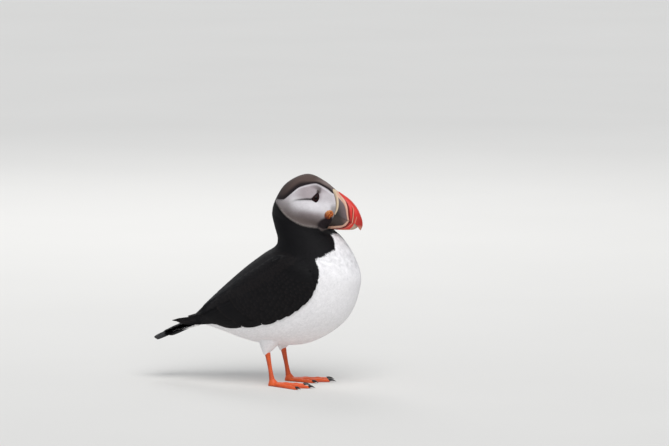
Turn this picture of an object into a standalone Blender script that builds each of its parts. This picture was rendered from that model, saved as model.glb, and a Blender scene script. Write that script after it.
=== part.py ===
"""Atlantic puffin, life size, standing at rest on both feet with its neck drawn in.

Frame: metres, +Z up, +X the way the bill points, +Y the bird's left, and the
floor at Z = 0.  Lengths below are in millimetres and become metres in
mesh_object().  The trunk, neck, head and tail are lofts: each station is a
flat oval spanned between a point on the back and a point on the belly.
"""

import math

import bmesh
import bpy
import numpy as np

MM = 0.001

# ---- driving sizes, mm ----------------------------------------------------
GAP = 0.35  # clearance left between neighbouring pieces
SIDES = {"right": -1, "left": 1}

# (name, back point x z, belly point x z, half width) from the rump to the face
BODY_STATIONS = [
    ("tail_root", (-128, 62), (-117, 55.5), 11),
    ("rump", (-118, 71), (-88, 48.5), 25),
    ("loin", (-105, 83), (-66, 42), 35.5),
    ("hips", (-91, 96), (-43, 38.5), 41),
    ("saddle", (-71, 113), (-6, 41.5), 43.5),
    ("back", (-52, 127), (29, 64), 43.5),
    ("mantle", (-39, 135.5), (43, 98), 41),
    ("shoulder", (-37, 144), (39, 121), 35),
    ("collar", (-41, 155), (28, 140), 28.5),
    ("nape", (-44.2, 168), (18.5, 149), 24),
    ("occiput", (-40.5, 181), (14, 151.5), 22.3),
    ("hind_crown", (-29.5, 196.5), (13, 152.2), 22.3),
    ("crown", (-9.9, 205.4), (12.6, 152.6), 21),
    ("forehead", (7.5, 199.5), (12.3, 152.8), 16),
    ("bill_base", (17.5, 192.5), (12, 153), 9.2),
]
STATION = {row[0]: i for i, row in enumerate(BODY_STATIONS)}
BODY_SQUARENESS = 2.15  # 2 is a plain ellipse
BODY_SIDES = 32  # flats round the body
FACE_BULGE = 8.0  # how far the face runs forward beside the bill, past a flat end

TAIL_STATIONS = [
    ("root", (-128.4, 61.4), (-117.4, 54.9), 10.6),
    ("coverts", (-137, 56), (-130, 50.5), 15),
    ("middle", (-149, 50.2), (-146, 46.4), 18.5),
    ("near_end", (-161, 44), (-159.6, 42.2), 18.5),
    ("end", (-168, 40.6), (-167.3, 39.4), 12),
    ("tip", (-170, 39.4), (-169.7, 38.8), 5),
]

# (name, culmen x z, mouth x z, half width, forward bow) from the face to the tip
UPPER_BILL = [
    ("face", (17.5, 192.5), (21.63, 168.01), 8.0, 3.08),
    ("cere", (21.5, 191.0), (25.2, 167.0), 8.0, 3.1),
    ("ridge", (27.0, 188.4), (36.8, 162.2), 6.6, 3.6),
    ("first_groove", (34.2, 183.4), (39.6, 160.4), 5.3, 3.4),
    ("second_groove", (40.8, 176.2), (41.9, 159.2), 4.1, 2.2),
    ("hook", (45.0, 169.2), (43.4, 157.6), 3.1, 1.0),
    ("fore_tip", (47.6, 163.0), (44.4, 155.6), 2.2, 0.4),
    ("nail", (48.2, 157.6), (45.3, 153.9), 1.4, 0.1),
    ("tip", (46.8, 154.0), (45.9, 152.8), 0.8, 0.0),
]
LOWER_BILL = [
    ("face", (21.63, 168.01), (12.0, 153.0), 7.8, 1.16),
    ("chin", (26.0, 166.4), (17.5, 152.4), 7.3, 1.0),
    ("ridge", (33.0, 163.3), (26.0, 152.3), 5.9, 0.9),
    ("groove", (37.4, 161.2), (33.5, 152.7), 4.4, 0.6),
    ("fore_tip", (40.4, 159.5), (38.0, 153.7), 3.0, 0.3),
    ("tip", (42.4, 158.0), (41.2, 155.8), 1.2, 0.0),
]

EYE_AT = (7.0, 184.2)  # x z of the eye on the side of the head
EYE_RADIUS = 4.6
EYE_PROUD = 1.3
ROSETTE_AT = (16.6, 168.0)  # x z of the fleshy corner of the mouth
ROSETTE_OUT = 9.3
ROSETTE_RADII = (5.2, 2.2, 3.3)
ROSETTE_TURN = 35.0  # degrees its long axis rises towards the bill

WING_THICKNESS = 4.2
WING_EDGE = 1.3
WING_FRONT, WING_REAR = 6.45, 0.9  # along BODY_STATIONS
WING_LINE = (1.42, 1.10)  # radians down from the back, at the bend and at the rump
WING_HALF_SPREAD = 0.60  # radians round the body
WING_TIP_REACH = 30.0  # how far the primaries run on past the rump
WING_TIP_COURSE = (-0.93, -0.10, -0.22)

FOOT_X = -37.0  # the toe joint
FOOT_Y = 21.0
TOE_OUT = 7.0  # degrees each foot turns out
TOES = {"inner": (25.0, 31.0), "middle": (0.0, 41.0), "outer": (-23.0, 38.0)}
TOE_HALF_WIDTH = 2.0
WEB_THICKNESS = 1.3
WEB_NOTCH = 0.16
HUB_HEIGHT = 8.0
ANKLE = (-43.5, 20.0, 33.0)
CLAW_LENGTH = 6.5
CLAW_RADIUS = 1.35


# ---- curves and surfaces ---------------------------------------------------
def smooth_through(rows, at):
    """A Catmull-Rom curve through rows, read at station numbers in at."""
    rows = np.asarray(rows, float)
    at = np.clip(np.asarray(at, float), 0, len(rows) - 1)
    k = np.minimum(at.astype(int), len(rows) - 2)
    t = (at - k)[..., None]
    before = rows[np.maximum(k - 1, 0)]
    here = rows[k]
    there = rows[k + 1]
    beyond = rows[np.minimum(k + 2, len(rows) - 1)]
    return here + 0.5 * t * (
        there - before
        + t * (2 * before - 5 * here + 4 * there - beyond
               + t * (3 * here - before - 3 * there + beyond))
    )


def power(value, exponent):
    """Keeps the sign while raising the size to a power."""
    return np.sign(value) * np.abs(value) ** exponent


def oval_loft(stations, at, around, squareness=2.0):
    """Points of the loft: at picks the station and around the angle from the back point."""
    table = [(*row[1], *row[2], row[3]) for row in stations]
    back_x, back_z, belly_x, belly_z, width = np.moveaxis(smooth_through(table, at), -1, 0)
    down = power(np.cos(around), 2 / squareness)
    out = power(np.sin(around), 2 / squareness)
    x = (back_x + belly_x) / 2 + down * (back_x - belly_x) / 2
    z = (back_z + belly_z) / 2 + down * (back_z - belly_z) / 2
    return np.stack([x, width * out, z], -1), down


def body_point(at, around):
    """The outer surface of trunk, neck and head, which bulges forward round the bill's base."""
    point, down = oval_loft(BODY_STATIONS, at, around, BODY_SQUARENESS)
    last = STATION["bill_base"]
    share = np.clip((at - (last - 1.6)) / 1.6, 0, 1) ** 2
    point[..., 0] += FACE_BULGE * share * (1 - down**2)
    return point


def outward(surface, at, around, step=1e-3):
    """Unit normals of a surface(at, around), by small steps both ways."""
    along = surface(at + step, around) - surface(at - step, around)
    across = surface(at, around + step) - surface(at, around - step)
    normal = np.cross(along, across)
    size = np.linalg.norm(normal, axis=-1, keepdims=True)
    return normal / np.maximum(size, 1e-12)


# ---- meshes ----------------------------------------------------------------
def material(name, colour, roughness):
    made = bpy.data.materials.get(name)
    if made is None:
        made = bpy.data.materials.new(name)
        made.use_nodes = True
        shader = made.node_tree.nodes["Principled BSDF"]
        shader.inputs["Base Color"].default_value = (*colour, 1)
        shader.inputs["Roughness"].default_value = roughness
        shader.inputs["Metallic"].default_value = 0.0
    return made


BLACK_PLUMAGE = ("black_plumage", (0.012, 0.012, 0.014), 0.75)
WHITE_PLUMAGE = ("white_plumage", (0.80, 0.79, 0.77), 0.85)
FACE_PLUMAGE = ("face_plumage", (0.52, 0.50, 0.49), 0.85)
RED_BILL = ("red_bill", (0.62, 0.07, 0.03), 0.4)
ORANGE_SKIN = ("orange_skin", (0.75, 0.20, 0.02), 0.5)
DARK_HORN = ("dark_horn", (0.02, 0.018, 0.018), 0.4)
EYE = ("eye", (0.015, 0.008, 0.006), 0.1)


def mesh_object(name, points, faces, finish, helper=False):
    """An object from points in mm; a helper only cuts others and isn't part of the bird."""
    mesh = bpy.data.meshes.new(name)
    mesh.from_pydata((np.asarray(points) * MM).tolist(), [], faces)
    shape = bmesh.new()
    shape.from_mesh(mesh)
    bmesh.ops.remove_doubles(shape, verts=shape.verts, dist=1e-6)
    bmesh.ops.recalc_face_normals(shape, faces=shape.faces)
    shape.to_mesh(mesh)
    shape.free()
    mesh.shade_smooth()
    mesh.materials.append(material(*finish))
    made = bpy.data.objects.new(name, mesh)
    bpy.context.scene.collection.objects.link(made)
    if helper:
        made.hide_render = True
        made.display_type = "WIRE"
    return made


def ring_faces(rings, size):
    """Quads that join each ring of points to the next."""
    return [
        (k * size + i, k * size + (i + 1) % size, (k + 1) * size + (i + 1) % size, (k + 1) * size + i)
        for k in range(rings - 1)
        for i in range(size)
    ]


def ladder_cap(start, size):
    """Closes a ring whose points i and size - i mirror each other, rung by rung."""
    rungs = [(start + i, start + (size - i) % size) for i in range(size // 2 + 1)]
    return [
        tuple(dict.fromkeys((a, b, d, c)))
        for (a, b), (c, d) in zip(rungs, rungs[1:])
    ]


def tube(name, points, finish, helper=False):
    """A closed solid from an array of rings of points."""
    rings, size = points.shape[:2]
    faces = ring_faces(rings, size)
    faces += ladder_cap(0, size) + ladder_cap((rings - 1) * size, size)
    return mesh_object(name, points.reshape(-1, 3), faces, finish, helper)


def around_grid(count):
    return np.arange(count) * 2 * math.pi / count


def body_length(name, first, last, rings, finish, grow=0.0, helper=False):
    """One length of the body between two station numbers, grown outwards for a cutter."""
    at, around = np.meshgrid(np.linspace(first, last, rings), around_grid(BODY_SIDES), indexing="ij")
    points = body_point(at, around)
    if grow:
        inside = np.clip(at, 0.01, STATION["bill_base"] - 0.01)
        points = points + grow * outward(body_point, inside, around)
    return tube(name, points, finish, helper)


def cut(target, cutter):
    """Takes cutter out of target."""
    change = target.modifiers.new("fit", "BOOLEAN")
    change.operation = "DIFFERENCE"
    change.solver = "EXACT"
    change.object = cutter


# ---- the bird --------------------------------------------------------------
def station_gap(at):
    """How much of a station makes GAP at the back, where the stations are furthest apart."""
    step = smooth_through([row[1] for row in BODY_STATIONS], [at, at + 1e-2])
    return GAP * 1e-2 / float(np.linalg.norm(step[1] - step[0]))


def make_body():
    """Trunk, neck and head as three lengths of one surface, parted by thin cuts."""
    neck_start = STATION["shoulder"] - 0.25
    head_start = STATION["occiput"] - 0.5
    trunk = body_length("trunk", 0, neck_start, 22, WHITE_PLUMAGE)
    body_length("neck", neck_start + station_gap(neck_start), head_start, 8, BLACK_PLUMAGE)
    first = head_start + station_gap(head_start)
    head = body_length("head", first, STATION["bill_base"], 18, FACE_PLUMAGE)
    grown_trunk = body_length("trunk_room", 0, neck_start, 22, WHITE_PLUMAGE, GAP, True)
    return trunk, head, grown_trunk


def make_tail():
    at, around = np.meshgrid(np.linspace(0, len(TAIL_STATIONS) - 1, 9), around_grid(18), indexing="ij")
    points, _ = oval_loft(TAIL_STATIONS, at, around, 2.6)
    tube("tail", points, BLACK_PLUMAGE)


def wing_surface(along, across, lift):
    """A folded wing: along runs from the bend to the tips, across from the lower edge up."""
    at = WING_FRONT + (WING_REAR - WING_FRONT) * np.minimum(along / 0.8, 1)
    nose = np.sqrt(np.clip(1 - (1 - np.minimum(along / 0.16, 1)) ** 2, 0, 1))
    taper = 1 - 0.93 * np.clip((along - 0.62) / 0.38, 0, 1) ** 1.3
    middle = WING_LINE[0] + (WING_LINE[1] - WING_LINE[0]) * np.clip(along / 0.8, 0, 1)
    half = WING_HALF_SPREAD * (0.12 + 0.88 * nose) * taper
    around = middle + half * (1 - 2 * across)
    point = body_point(at, around)
    normal = outward(body_point, at, around)
    beyond = np.clip((along - 0.8) / 0.2, 0, 1)[..., None]
    return point + normal * lift[..., None] + beyond * WING_TIP_REACH * np.array(WING_TIP_COURSE)


def make_wing(side):
    """A closed blade over the flank: its inner face clears the trunk, its outer face is cambered."""
    rows, columns = 19, 8
    along, across = np.meshgrid(
        np.linspace(0, 1, rows) ** 1.35, np.linspace(0, 1, columns), indexing="ij"
    )
    camber = np.sqrt(np.clip(4 * across * (1 - across), 0, 1))
    thin = 1 - 0.55 * along
    outer = wing_surface(along, across, WING_EDGE + (WING_THICKNESS - WING_EDGE) * camber * thin)
    free = np.clip((along - 0.74) / 0.12, 0, 1)
    inner = wing_surface(along, across, -2.5 + 2.3 * free)
    ring = np.concatenate([outer, inner[:, ::-1]], axis=1)
    ring[..., 1] *= SIDES[side]
    size = ring.shape[1]
    faces = ring_faces(rows, size)
    for start in (0, (rows - 1) * size):
        faces += [
            (start + i, start + i + 1, start + size - 2 - i, start + size - 1 - i)
            for i in range(columns - 1)
        ]
    return mesh_object(f"wing_{side}", ring.reshape(-1, 3), faces, BLACK_PLUMAGE)


def bill_half(name, stations, drop, keel_down, finish):
    """One mandible: a flat mouth face, and sides that close in a rounded keel or culmen."""
    table = [(*row[1], *row[2], row[3], row[4]) for row in stations]
    at = np.linspace(0, len(stations) - 1, round(2.4 * len(stations)))
    upper_x, upper_z, lower_x, lower_z, width, bow = smooth_through(table, at).T[..., None]
    share = np.linspace(0, 1, 8)[None, :] ** 1.3  # 0 at the keel or culmen, 1 at the mouth
    from_top = 1 - share if keel_down else share
    x = upper_x + (lower_x - upper_x) * from_top + bow * 4 * from_top * (1 - from_top)
    z = upper_z + (lower_z - upper_z) * from_top
    half = width * (1 - (1 - share) ** 2.4) ** 0.55
    right = np.stack([x + GAP, -half, z + drop * share], -1)
    left = right[:, :0:-1] * (1, -1, 1)
    ring = np.concatenate([right, left], axis=1)
    return tube(name, ring, finish)


def ball(name, centre, radii, finish, turn=0.0, helper=False, segments=16, rings=10):
    """An ellipsoid whose long axis is turned about Y."""
    shape = bmesh.new()
    bmesh.ops.create_uvsphere(shape, u_segments=segments, v_segments=rings, radius=1.0)
    points = np.array([v.co[:] for v in shape.verts]) * radii
    faces = [[v.index for v in f.verts] for f in shape.faces]
    shape.free()
    c, s = math.cos(math.radians(turn)), math.sin(math.radians(turn))
    turned = np.stack([c * points[:, 0] - s * points[:, 2], points[:, 1],
                       s * points[:, 0] + c * points[:, 2]], -1)
    return mesh_object(name, turned + centre, faces, finish, helper)


def side_of_head(x, z):
    """The station and angle where the head's surface passes over (x, z), by Newton steps."""
    found = np.array([STATION["forehead"] - 0.1, 1.0])
    for _ in range(30):
        here = body_point(*found)
        slopes = []
        for step in ((1e-4, 0), (0, 1e-4)):
            slopes.append((body_point(*(found + step)) - here)[[0, 2]] / 1e-4)
        miss = np.array([x, z]) - here[[0, 2]]
        found = found + np.clip(np.linalg.solve(np.array(slopes).T, miss), -0.3, 0.3)
    return found


def make_eyes(head):
    at, around = side_of_head(*EYE_AT)
    surface = body_point(at, around)
    normal = outward(body_point, at, around)
    centre = surface - normal * (EYE_RADIUS - EYE_PROUD)
    for side, sign in SIDES.items():
        place = centre * (1, sign, 1)
        ball(f"eye_{side}", place, (EYE_RADIUS,) * 3, EYE)
        socket = ball(f"socket_{side}", place, (EYE_RADIUS + GAP,) * 3, EYE, helper=True)
        cut(head, socket)


def make_rosettes(neighbours):
    """The fleshy folds at the corners of the mouth, let into the head and both mandibles."""
    for side, sign in SIDES.items():
        place = (ROSETTE_AT[0], sign * ROSETTE_OUT, ROSETTE_AT[1])
        ball(f"gape_rosette_{side}", place, ROSETTE_RADII, ORANGE_SKIN, ROSETTE_TURN, segments=12, rings=8)
        room = [radius + GAP for radius in ROSETTE_RADII]
        pocket = ball(f"pocket_{side}", place, room, ORANGE_SKIN, ROSETTE_TURN, True, 12, 8)
        for piece in neighbours:
            cut(piece, pocket)


def limb(name, centres, radii, finish, count=10):
    """A tube of flat ovals, level with the floor, through centres; radii are (x, y) pairs."""
    around = around_grid(count)
    circle = np.stack([np.cos(around), np.sin(around), 0 * around], -1)
    radii = np.array([(*pair, 0) for pair in radii], float)
    points = np.array(centres, float)[:, None] + circle[None] * radii[:, None]
    return tube(name, points, finish)


def make_leg(side, grown_trunk):
    """Feathered thigh down to the ankle, and the bare shank from there to the toe joint."""
    sign = SIDES[side]
    ankle = np.array(ANKLE) * (1, sign, 1)
    toe_joint = np.array([FOOT_X, FOOT_Y * sign, HUB_HEIGHT + GAP])
    hip = np.array([-36.0, sign * 17.0, 56.0])
    thigh_path = [hip, hip * 0.55 + ankle * 0.45, hip * 0.2 + ankle * 0.8, ankle]
    thigh_radii = [(17, 12), (13, 10), (7.5, 6.2), (4.0, 3.6)]
    thigh = limb(f"thigh_{side}", thigh_path, thigh_radii, WHITE_PLUMAGE, 16)
    cut(thigh, grown_trunk)
    top = ankle - (0, 0, GAP)
    shares = np.array([0, 0.16, 0.35, 0.7, 0.9, 1.0])
    sizes = [(3.3, 3.0), (2.9, 2.3), (2.3, 1.75), (2.3, 1.75), (2.7, 2.3), (2.9, 2.6)]
    limb(f"leg_{side}", [top + (toe_joint - top) * s for s in shares], sizes, ORANGE_SKIN)


def toe_ends():
    """Each toe's end in the foot's own plane, x forward and y towards the other foot."""
    return {
        name: length * np.array([math.cos(math.radians(turn)), math.sin(math.radians(turn))])
        for name, (turn, length) in TOES.items()
    }


def foot_outline(share):
    """Front edge of the foot from the outer toe to the inner one: toe ends with hollow webs between."""
    angles = [TOES[name][0] for name in ("outer", "middle", "inner")]
    lengths = [TOES[name][1] for name in ("outer", "middle", "inner")]
    half = [math.degrees(math.asin(TOE_HALF_WIDTH / length)) for length in lengths]
    marks = [angles[0] - half[0], angles[0] + half[0], angles[1] - half[1],
             angles[1] + half[1], angles[2] - half[2], angles[2] + half[2]]
    reach = [lengths[0], lengths[0], lengths[1], lengths[1], lengths[2], lengths[2]]
    turn = np.interp(share, [0, 0.12, 0.45, 0.55, 0.88, 1], marks)
    radius = np.interp(turn, marks, reach)
    for low, high in ((marks[1], marks[2]), (marks[3], marks[4])):
        inside = np.clip((turn - low) / (high - low), 0, 1)
        radius = radius * (1 - WEB_NOTCH * np.sin(math.pi * inside))
    turn = np.radians(turn)
    return np.stack([radius * np.cos(turn), radius * np.sin(turn)], -1)


def foot_height(plane):
    """Top of the foot over points in its plane: web, toes and the raised toe joint."""
    height = np.full(plane.shape[:-1], WEB_THICKNESS)
    for end in toe_ends().values():
        along = np.clip((plane @ end) / (end @ end), 0, 1)
        away = np.linalg.norm(plane - along[..., None] * end, axis=-1)
        toe = (4.6 - 1.2 * along) * np.clip(1 - (away / (TOE_HALF_WIDTH * 1.35)) ** 2, 0, 1) ** 0.5
        height = np.maximum(height, toe)
    away = np.linalg.norm(plane, axis=-1)
    slope = np.clip((away - 3.6) / 8.0, 0, 1)
    hub = HUB_HEIGHT * (1 - slope * slope * (3 - 2 * slope))
    return np.maximum(height, hub)


def to_foot(plane, height, side):
    """From a foot's own plane to the frame."""
    sign = SIDES[side]
    turn = math.radians(TOE_OUT)
    x, y = plane[..., 0], plane[..., 1]
    forward = x * math.cos(turn) + y * math.sin(turn)
    inward = y * math.cos(turn) - x * math.sin(turn)
    return np.stack([FOOT_X + forward, sign * (FOOT_Y - inward), height], -1)


def make_foot(side):
    """A webbed foot: a relief over a flat sole."""
    rows, columns = 9, 21
    share = np.linspace(0, 1, columns)
    heel = math.pi * (share - 0.5)
    start = 4.2 * np.stack([-np.cos(heel), np.sin(heel)], -1)
    steps = np.linspace(0, 1, rows)[:, None, None]
    plane = start[None] + (foot_outline(share) - start)[None] * steps
    top = to_foot(plane, foot_height(plane), side).reshape(-1, 3)
    edge = (
        [i for i in range(columns)]
        + [r * columns + columns - 1 for r in range(1, rows)]
        + [(rows - 1) * columns + i for i in range(columns - 2, -1, -1)]
        + [r * columns for r in range(rows - 2, 0, -1)]
    )
    faces = [
        (r * columns + i, r * columns + i + 1, (r + 1) * columns + i + 1, (r + 1) * columns + i)
        for r in range(rows - 1)
        for i in range(columns - 1)
    ]
    sole = top[edge] * (1, 1, 0)
    count, base = len(edge), len(top)
    faces += [(edge[i], edge[(i + 1) % count], base + (i + 1) % count, base + i) for i in range(count)]
    faces.append(tuple(base + i for i in range(count)))
    mesh_object(f"foot_{side}", np.concatenate([top, sole]), faces, ORANGE_SKIN)


def make_claws(side):
    """A short curved claw ahead of each toe, its point just off the floor."""
    around = around_grid(7)
    for toe, end in toe_ends().items():
        forward = end / np.linalg.norm(end)
        aside = np.array([-forward[1], forward[0]])
        rings = []
        for share in np.linspace(0, 1, 5):
            radius = CLAW_RADIUS * (1 - 0.82 * share**1.4)
            middle = end + forward * (GAP + CLAW_LENGTH * share)
            height = 1.9 + 1.2 * math.sin(math.pi * 0.55 * share) - 2.2 * share**1.6
            plane = middle + aside * (radius * np.cos(around))[:, None]
            rings.append(to_foot(plane, height + radius * np.sin(around), side))
        tube(f"claw_{side}_{toe}", np.array(rings), DARK_HORN)


def centre_over_origin():
    """Moves the whole bird along X so that its bounding box is centred over the origin."""
    graph = bpy.context.evaluated_depsgraph_get()
    reach = []
    for o in bpy.data.objects:
        if not o.hide_render:
            reach += [vertex.co.x for vertex in o.evaluated_get(graph).data.vertices]
    for o in bpy.data.objects:
        o.location.x = -(min(reach) + max(reach)) / 2


def main():
    for o in list(bpy.data.objects):
        bpy.data.objects.remove(o, do_unlink=True)
    trunk, head, grown_trunk = make_body()
    make_tail()
    upper = bill_half("bill_upper", UPPER_BILL, GAP / 2, False, RED_BILL)
    lower = bill_half("bill_lower", LOWER_BILL, -GAP / 2, True, RED_BILL)
    make_eyes(head)
    make_rosettes((head, upper, lower))
    for side in SIDES:
        wing = make_wing(side)
        cut(wing, grown_trunk)
        make_leg(side, grown_trunk)
        make_foot(side)
        make_claws(side)
    centre_over_origin()


main()
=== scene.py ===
"""Dresses the Atlantic puffin: one skin, its plumage, bill, eyes and feet, and a plain studio.

Lengths in this file are in millimetres and angles in radians unless a name says degrees.  The bird's own
frame has +X the way the bill points, +Y its left, +Z up and the floor at Z = 0.  The body is a loft: a
place on it is a station number (0 at the tail, 14 at the bill) and an angle round the body, 0 along the
back and pi along the belly.
"""

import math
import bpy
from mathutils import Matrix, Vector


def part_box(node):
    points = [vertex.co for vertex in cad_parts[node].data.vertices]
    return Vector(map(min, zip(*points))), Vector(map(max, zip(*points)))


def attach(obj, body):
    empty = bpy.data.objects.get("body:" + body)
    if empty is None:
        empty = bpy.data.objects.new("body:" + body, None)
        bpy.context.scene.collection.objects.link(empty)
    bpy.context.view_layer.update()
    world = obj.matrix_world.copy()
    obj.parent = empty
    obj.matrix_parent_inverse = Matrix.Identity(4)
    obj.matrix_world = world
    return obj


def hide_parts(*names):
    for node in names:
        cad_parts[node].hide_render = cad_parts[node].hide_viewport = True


bl_info = {
    "name": "Atlantic puffin",
    "version": (1, 0, 0),
    "blender": (4, 5, 0),
    "location": "3D View > Sidebar > Puffin",
    "description": "Skin, plumage, bill, eyes and feet of a life-size Atlantic puffin",
    "category": "Object",
}

from functools import cache

import bmesh
import bpy
import numpy as np
from bpy.props import FloatProperty, FloatVectorProperty, IntProperty, PointerProperty
from mathutils import Vector

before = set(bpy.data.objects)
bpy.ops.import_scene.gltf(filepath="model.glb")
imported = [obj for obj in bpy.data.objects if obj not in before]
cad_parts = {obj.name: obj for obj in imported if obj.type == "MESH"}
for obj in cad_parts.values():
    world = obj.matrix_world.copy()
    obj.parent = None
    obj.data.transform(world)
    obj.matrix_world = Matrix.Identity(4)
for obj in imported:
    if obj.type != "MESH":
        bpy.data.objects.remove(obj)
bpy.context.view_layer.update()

MM = 0.001
SHARP_DEGREES = 55.0  # edges of bill, feet and lids steeper than this aren't shaded as curves
TURN = 2 * math.pi
SIDES = {"right": -1, "left": 1}

# ---- the bird's form, as the frame has it ------------------------------------
BODY_STATIONS = [
    # name, back point x z, belly point x z, half width
    ("tail_root", (-128, 62), (-117, 55.5), 11),
    ("rump", (-118, 71), (-88, 48.5), 25),
    ("loin", (-105, 83), (-66, 42), 35.5),
    ("hips", (-91, 96), (-43, 38.5), 41),
    ("saddle", (-71, 113), (-6, 41.5), 43.5),
    ("back", (-52, 127), (29, 64), 43.5),
    ("mantle", (-39, 135.5), (43, 98), 41),
    ("shoulder", (-37, 144), (39, 121), 35),
    ("collar", (-41, 155), (28, 140), 28.5),
    ("nape", (-44.2, 168), (18.5, 149), 24),
    ("occiput", (-40.5, 181), (14, 151.5), 22.3),
    ("hind_crown", (-29.5, 196.5), (13, 152.2), 22.3),
    ("crown", (-9.9, 205.4), (12.6, 152.6), 21),
    ("forehead", (7.5, 199.5), (12.3, 152.8), 16),
    ("bill_base", (17.5, 192.5), (12, 153), 9.2),
]
LAST_STATION = len(BODY_STATIONS) - 1
BODY_SQUARENESS = 2.15
FACE_BULGE = 8.0
FACE_OVERLAP = 1.3  # how far the face's feathers reach over the base of the bill
HEAD_START = 9.0  # stations from here on are the head

WING_THICKNESS = 4.2
WING_EDGE = 1.3  # thickness along its edges
WING_FRONT, WING_REAR = 6.45, 0.9  # stations
WING_ON_BODY = 0.8  # share of the wing's length that lies along the body; the tips reach on from it
WING_LINE = (1.42, 1.10)  # angles round the body of its middle, at the bend and near the tips
WING_HALF_SPREAD = 0.60  # half its width, as an angle round the body
WING_TIP_REACH = 30.0  # how far the tips stand off the body's end
WING_TIP_COURSE = np.array((-0.93, -0.10, -0.22))

UPPER_BILL = [
    # name, culmen x z, mouth x z, half width, forward bow
    ("face", (17.5, 191.9), (21.63, 168.01), 8.0, 3.08),
    ("cere", (21.5, 190.2), (25.2, 167.0), 8.0, 3.1),
    ("ridge", (27.0, 187.2), (36.8, 162.2), 6.6, 3.6),
    ("first_groove", (34.2, 182.6), (39.6, 160.4), 5.3, 3.4),
    ("second_groove", (40.8, 175.9), (41.9, 159.2), 4.1, 2.2),
    ("hook", (45.0, 169.2), (43.4, 157.6), 3.1, 1.0),
    ("fore_tip", (47.6, 163.0), (44.4, 155.6), 2.2, 0.4),
    ("nail", (48.2, 157.6), (45.3, 153.9), 1.4, 0.1),
    ("tip", (46.8, 154.0), (45.9, 152.8), 0.8, 0.0),
]
LOWER_BILL = [
    # name, mouth x z, keel x z, half width, forward bow
    ("face", (21.63, 168.01), (12.0, 153.0), 7.8, 1.16),
    ("chin", (26.0, 166.4), (17.5, 152.4), 7.3, 1.0),
    ("ridge", (33.0, 163.3), (26.0, 152.3), 5.9, 0.9),
    ("groove", (37.8, 161.2), (34.0, 152.6), 4.4, 0.6),
    ("fore_tip", (41.2, 159.5), (39.2, 153.3), 3.0, 0.3),
    ("tip", (43.4, 158.0), (42.6, 155.2), 1.2, 0.0),
]
GAP = 0.35  # from the bill to the face, and from the claws to the toes
MOUTH_GAP = 0.06  # between the mandibles

EYE_AT = (7.0, 184.2)
EYE_RADIUS = 4.6
EYE_PROUD = 0.91  # how far the eyeball stands out of the face
ROSETTE_AT = (18.0, 168.0)
ROSETTE_RADII = (5.7, 3.9, 2.3)  # along, across and out of the face
ROSETTE_TURN_DEGREES = 33.0

FOOT_X, FOOT_Y = -37.0, 21.0
TOE_OUT_DEGREES = 7.0
TOES = {"inner": (25.0, 31.0), "middle": (0.0, 41.0), "outer": (-23.0, 38.0)}  # degrees inwards, length
TOE_HALF_WIDTH = 2.0
WEB_THICKNESS = 1.3
WEB_NOTCH = 0.16  # share of its reach by which a web's edge is drawn in
HUB_HEIGHT = 8.0
FOOT_ROUNDING = 1.9  # how far in from its rim the foot's top curves down
HIP = np.array((-36.0, 17.0, 56.0))
ANKLE = np.array((-43.5, 20.0, 33.0))
CLAW_LENGTH = 6.5
CLAW_RADIUS = 1.35

TAIL_HALF_WIDTH = 18.5
TAIL_STATIONS = [
    # back point x z, belly point x z, half width
    ((-128.4, 61.4), (-117.4, 54.9), 10.6),
    ((-137, 56), (-130, 50.5), 15),
    ((-149, 50.2), (-146, 46.4), TAIL_HALF_WIDTH),
    ((-161, 44), (-159.6, 42.2), TAIL_HALF_WIDTH),
    ((-168, 40.6), (-167.3, 39.4), 12),
    ((-170, 39.4), (-169.7, 38.8), 5),
]

# The frame is centred along X, so the loft's rearmost point says how far it has moved.
SHIFT = np.array((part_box("trunk")[0].x / MM - BODY_STATIONS[0][1][0], 0.0, 0.0))

# ---- markings ----------------------------------------------------------------
# Outline of the pale cheek in side view, x z, clockwise from its point on the nape.
CHEEK = [
    (-38.5, 180.0), (-27.2, 181.1), (-19.7, 186.3), (-11.7, 193.0), (-6.0, 195.5), (0.7, 197.2), (4.6, 197.4),
    (9.3, 195.4), (15.1, 192.0), (19.6, 188.5), (25.0, 185.2), (30, 170), (14.0, 153.0), (7.8, 154.8),
    (-3.0, 156.9), (-9.6, 159.1), (-15.5, 161.9), (-21.6, 165.4), (-27.3, 170.0), (-33.0, 175.2),
]
EYE_FURROW = [
    (3.9, 183.0), (2.0, 182.9), (-1.0, 183.0), (-4.2, 182.8), (-8.6, 182.2), (-12.1, 181.7), (-18.4, 180.0),
]
# Dark lore below the corner of the mouth.
LORE = [(9.4, 160.2), (13.6, 163.8), (19.0, 165.6), (20.5, 162.0), (17.5, 158.0), (14.2, 153.5), (8.2, 154.5)]
# Where black meets white, as (station, angle) from the tail to the throat.
WHITE_EDGE = [
    (0, 1.60), (0.9, 1.26), (2.0, 1.62), (3.0, 1.72), (4.0, 1.80), (5.0, 1.90), (5.8, 1.97), (6.42, 1.92),
    (6.85, 1.84), (7.04, 2.00), (7.29, 2.20), (7.48, 2.38), (7.61, 2.56), (8.24, 2.76), (8.75, 2.84),
    (8.98, 3.2), (14, 3.2),
]

# An edge across a mandible is given by its x at shares 0, 0.2, 0.4, 0.6, 0.8 and 1 of the way from the keel
# to the mouth.
# Fields of colour from the face to the tip: (colour, x of its rear edge at each share).
UPPER_FIELDS = [
    ("seam", (17.0, 18.0, 18.0, 18.0, 18.0, 18.0)),
    ("cream", (17.6, 21.5, 23.6, 24.1, 23.8, 22.6)),
    ("slate", (22.6, 24.9, 26.3, 26.6, 25.8, 23.7)),
    ("blush", (22.0, 24.3, 30.8, 33.5, 34.6, 35.5)),
    ("blood", (24.0, 31.2, 34.2, 35.6, 36.2, 37.0)),
    ("red", (24.2, 32.0, 36.3, 37.5, 38.2, 38.7)),
]
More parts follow.
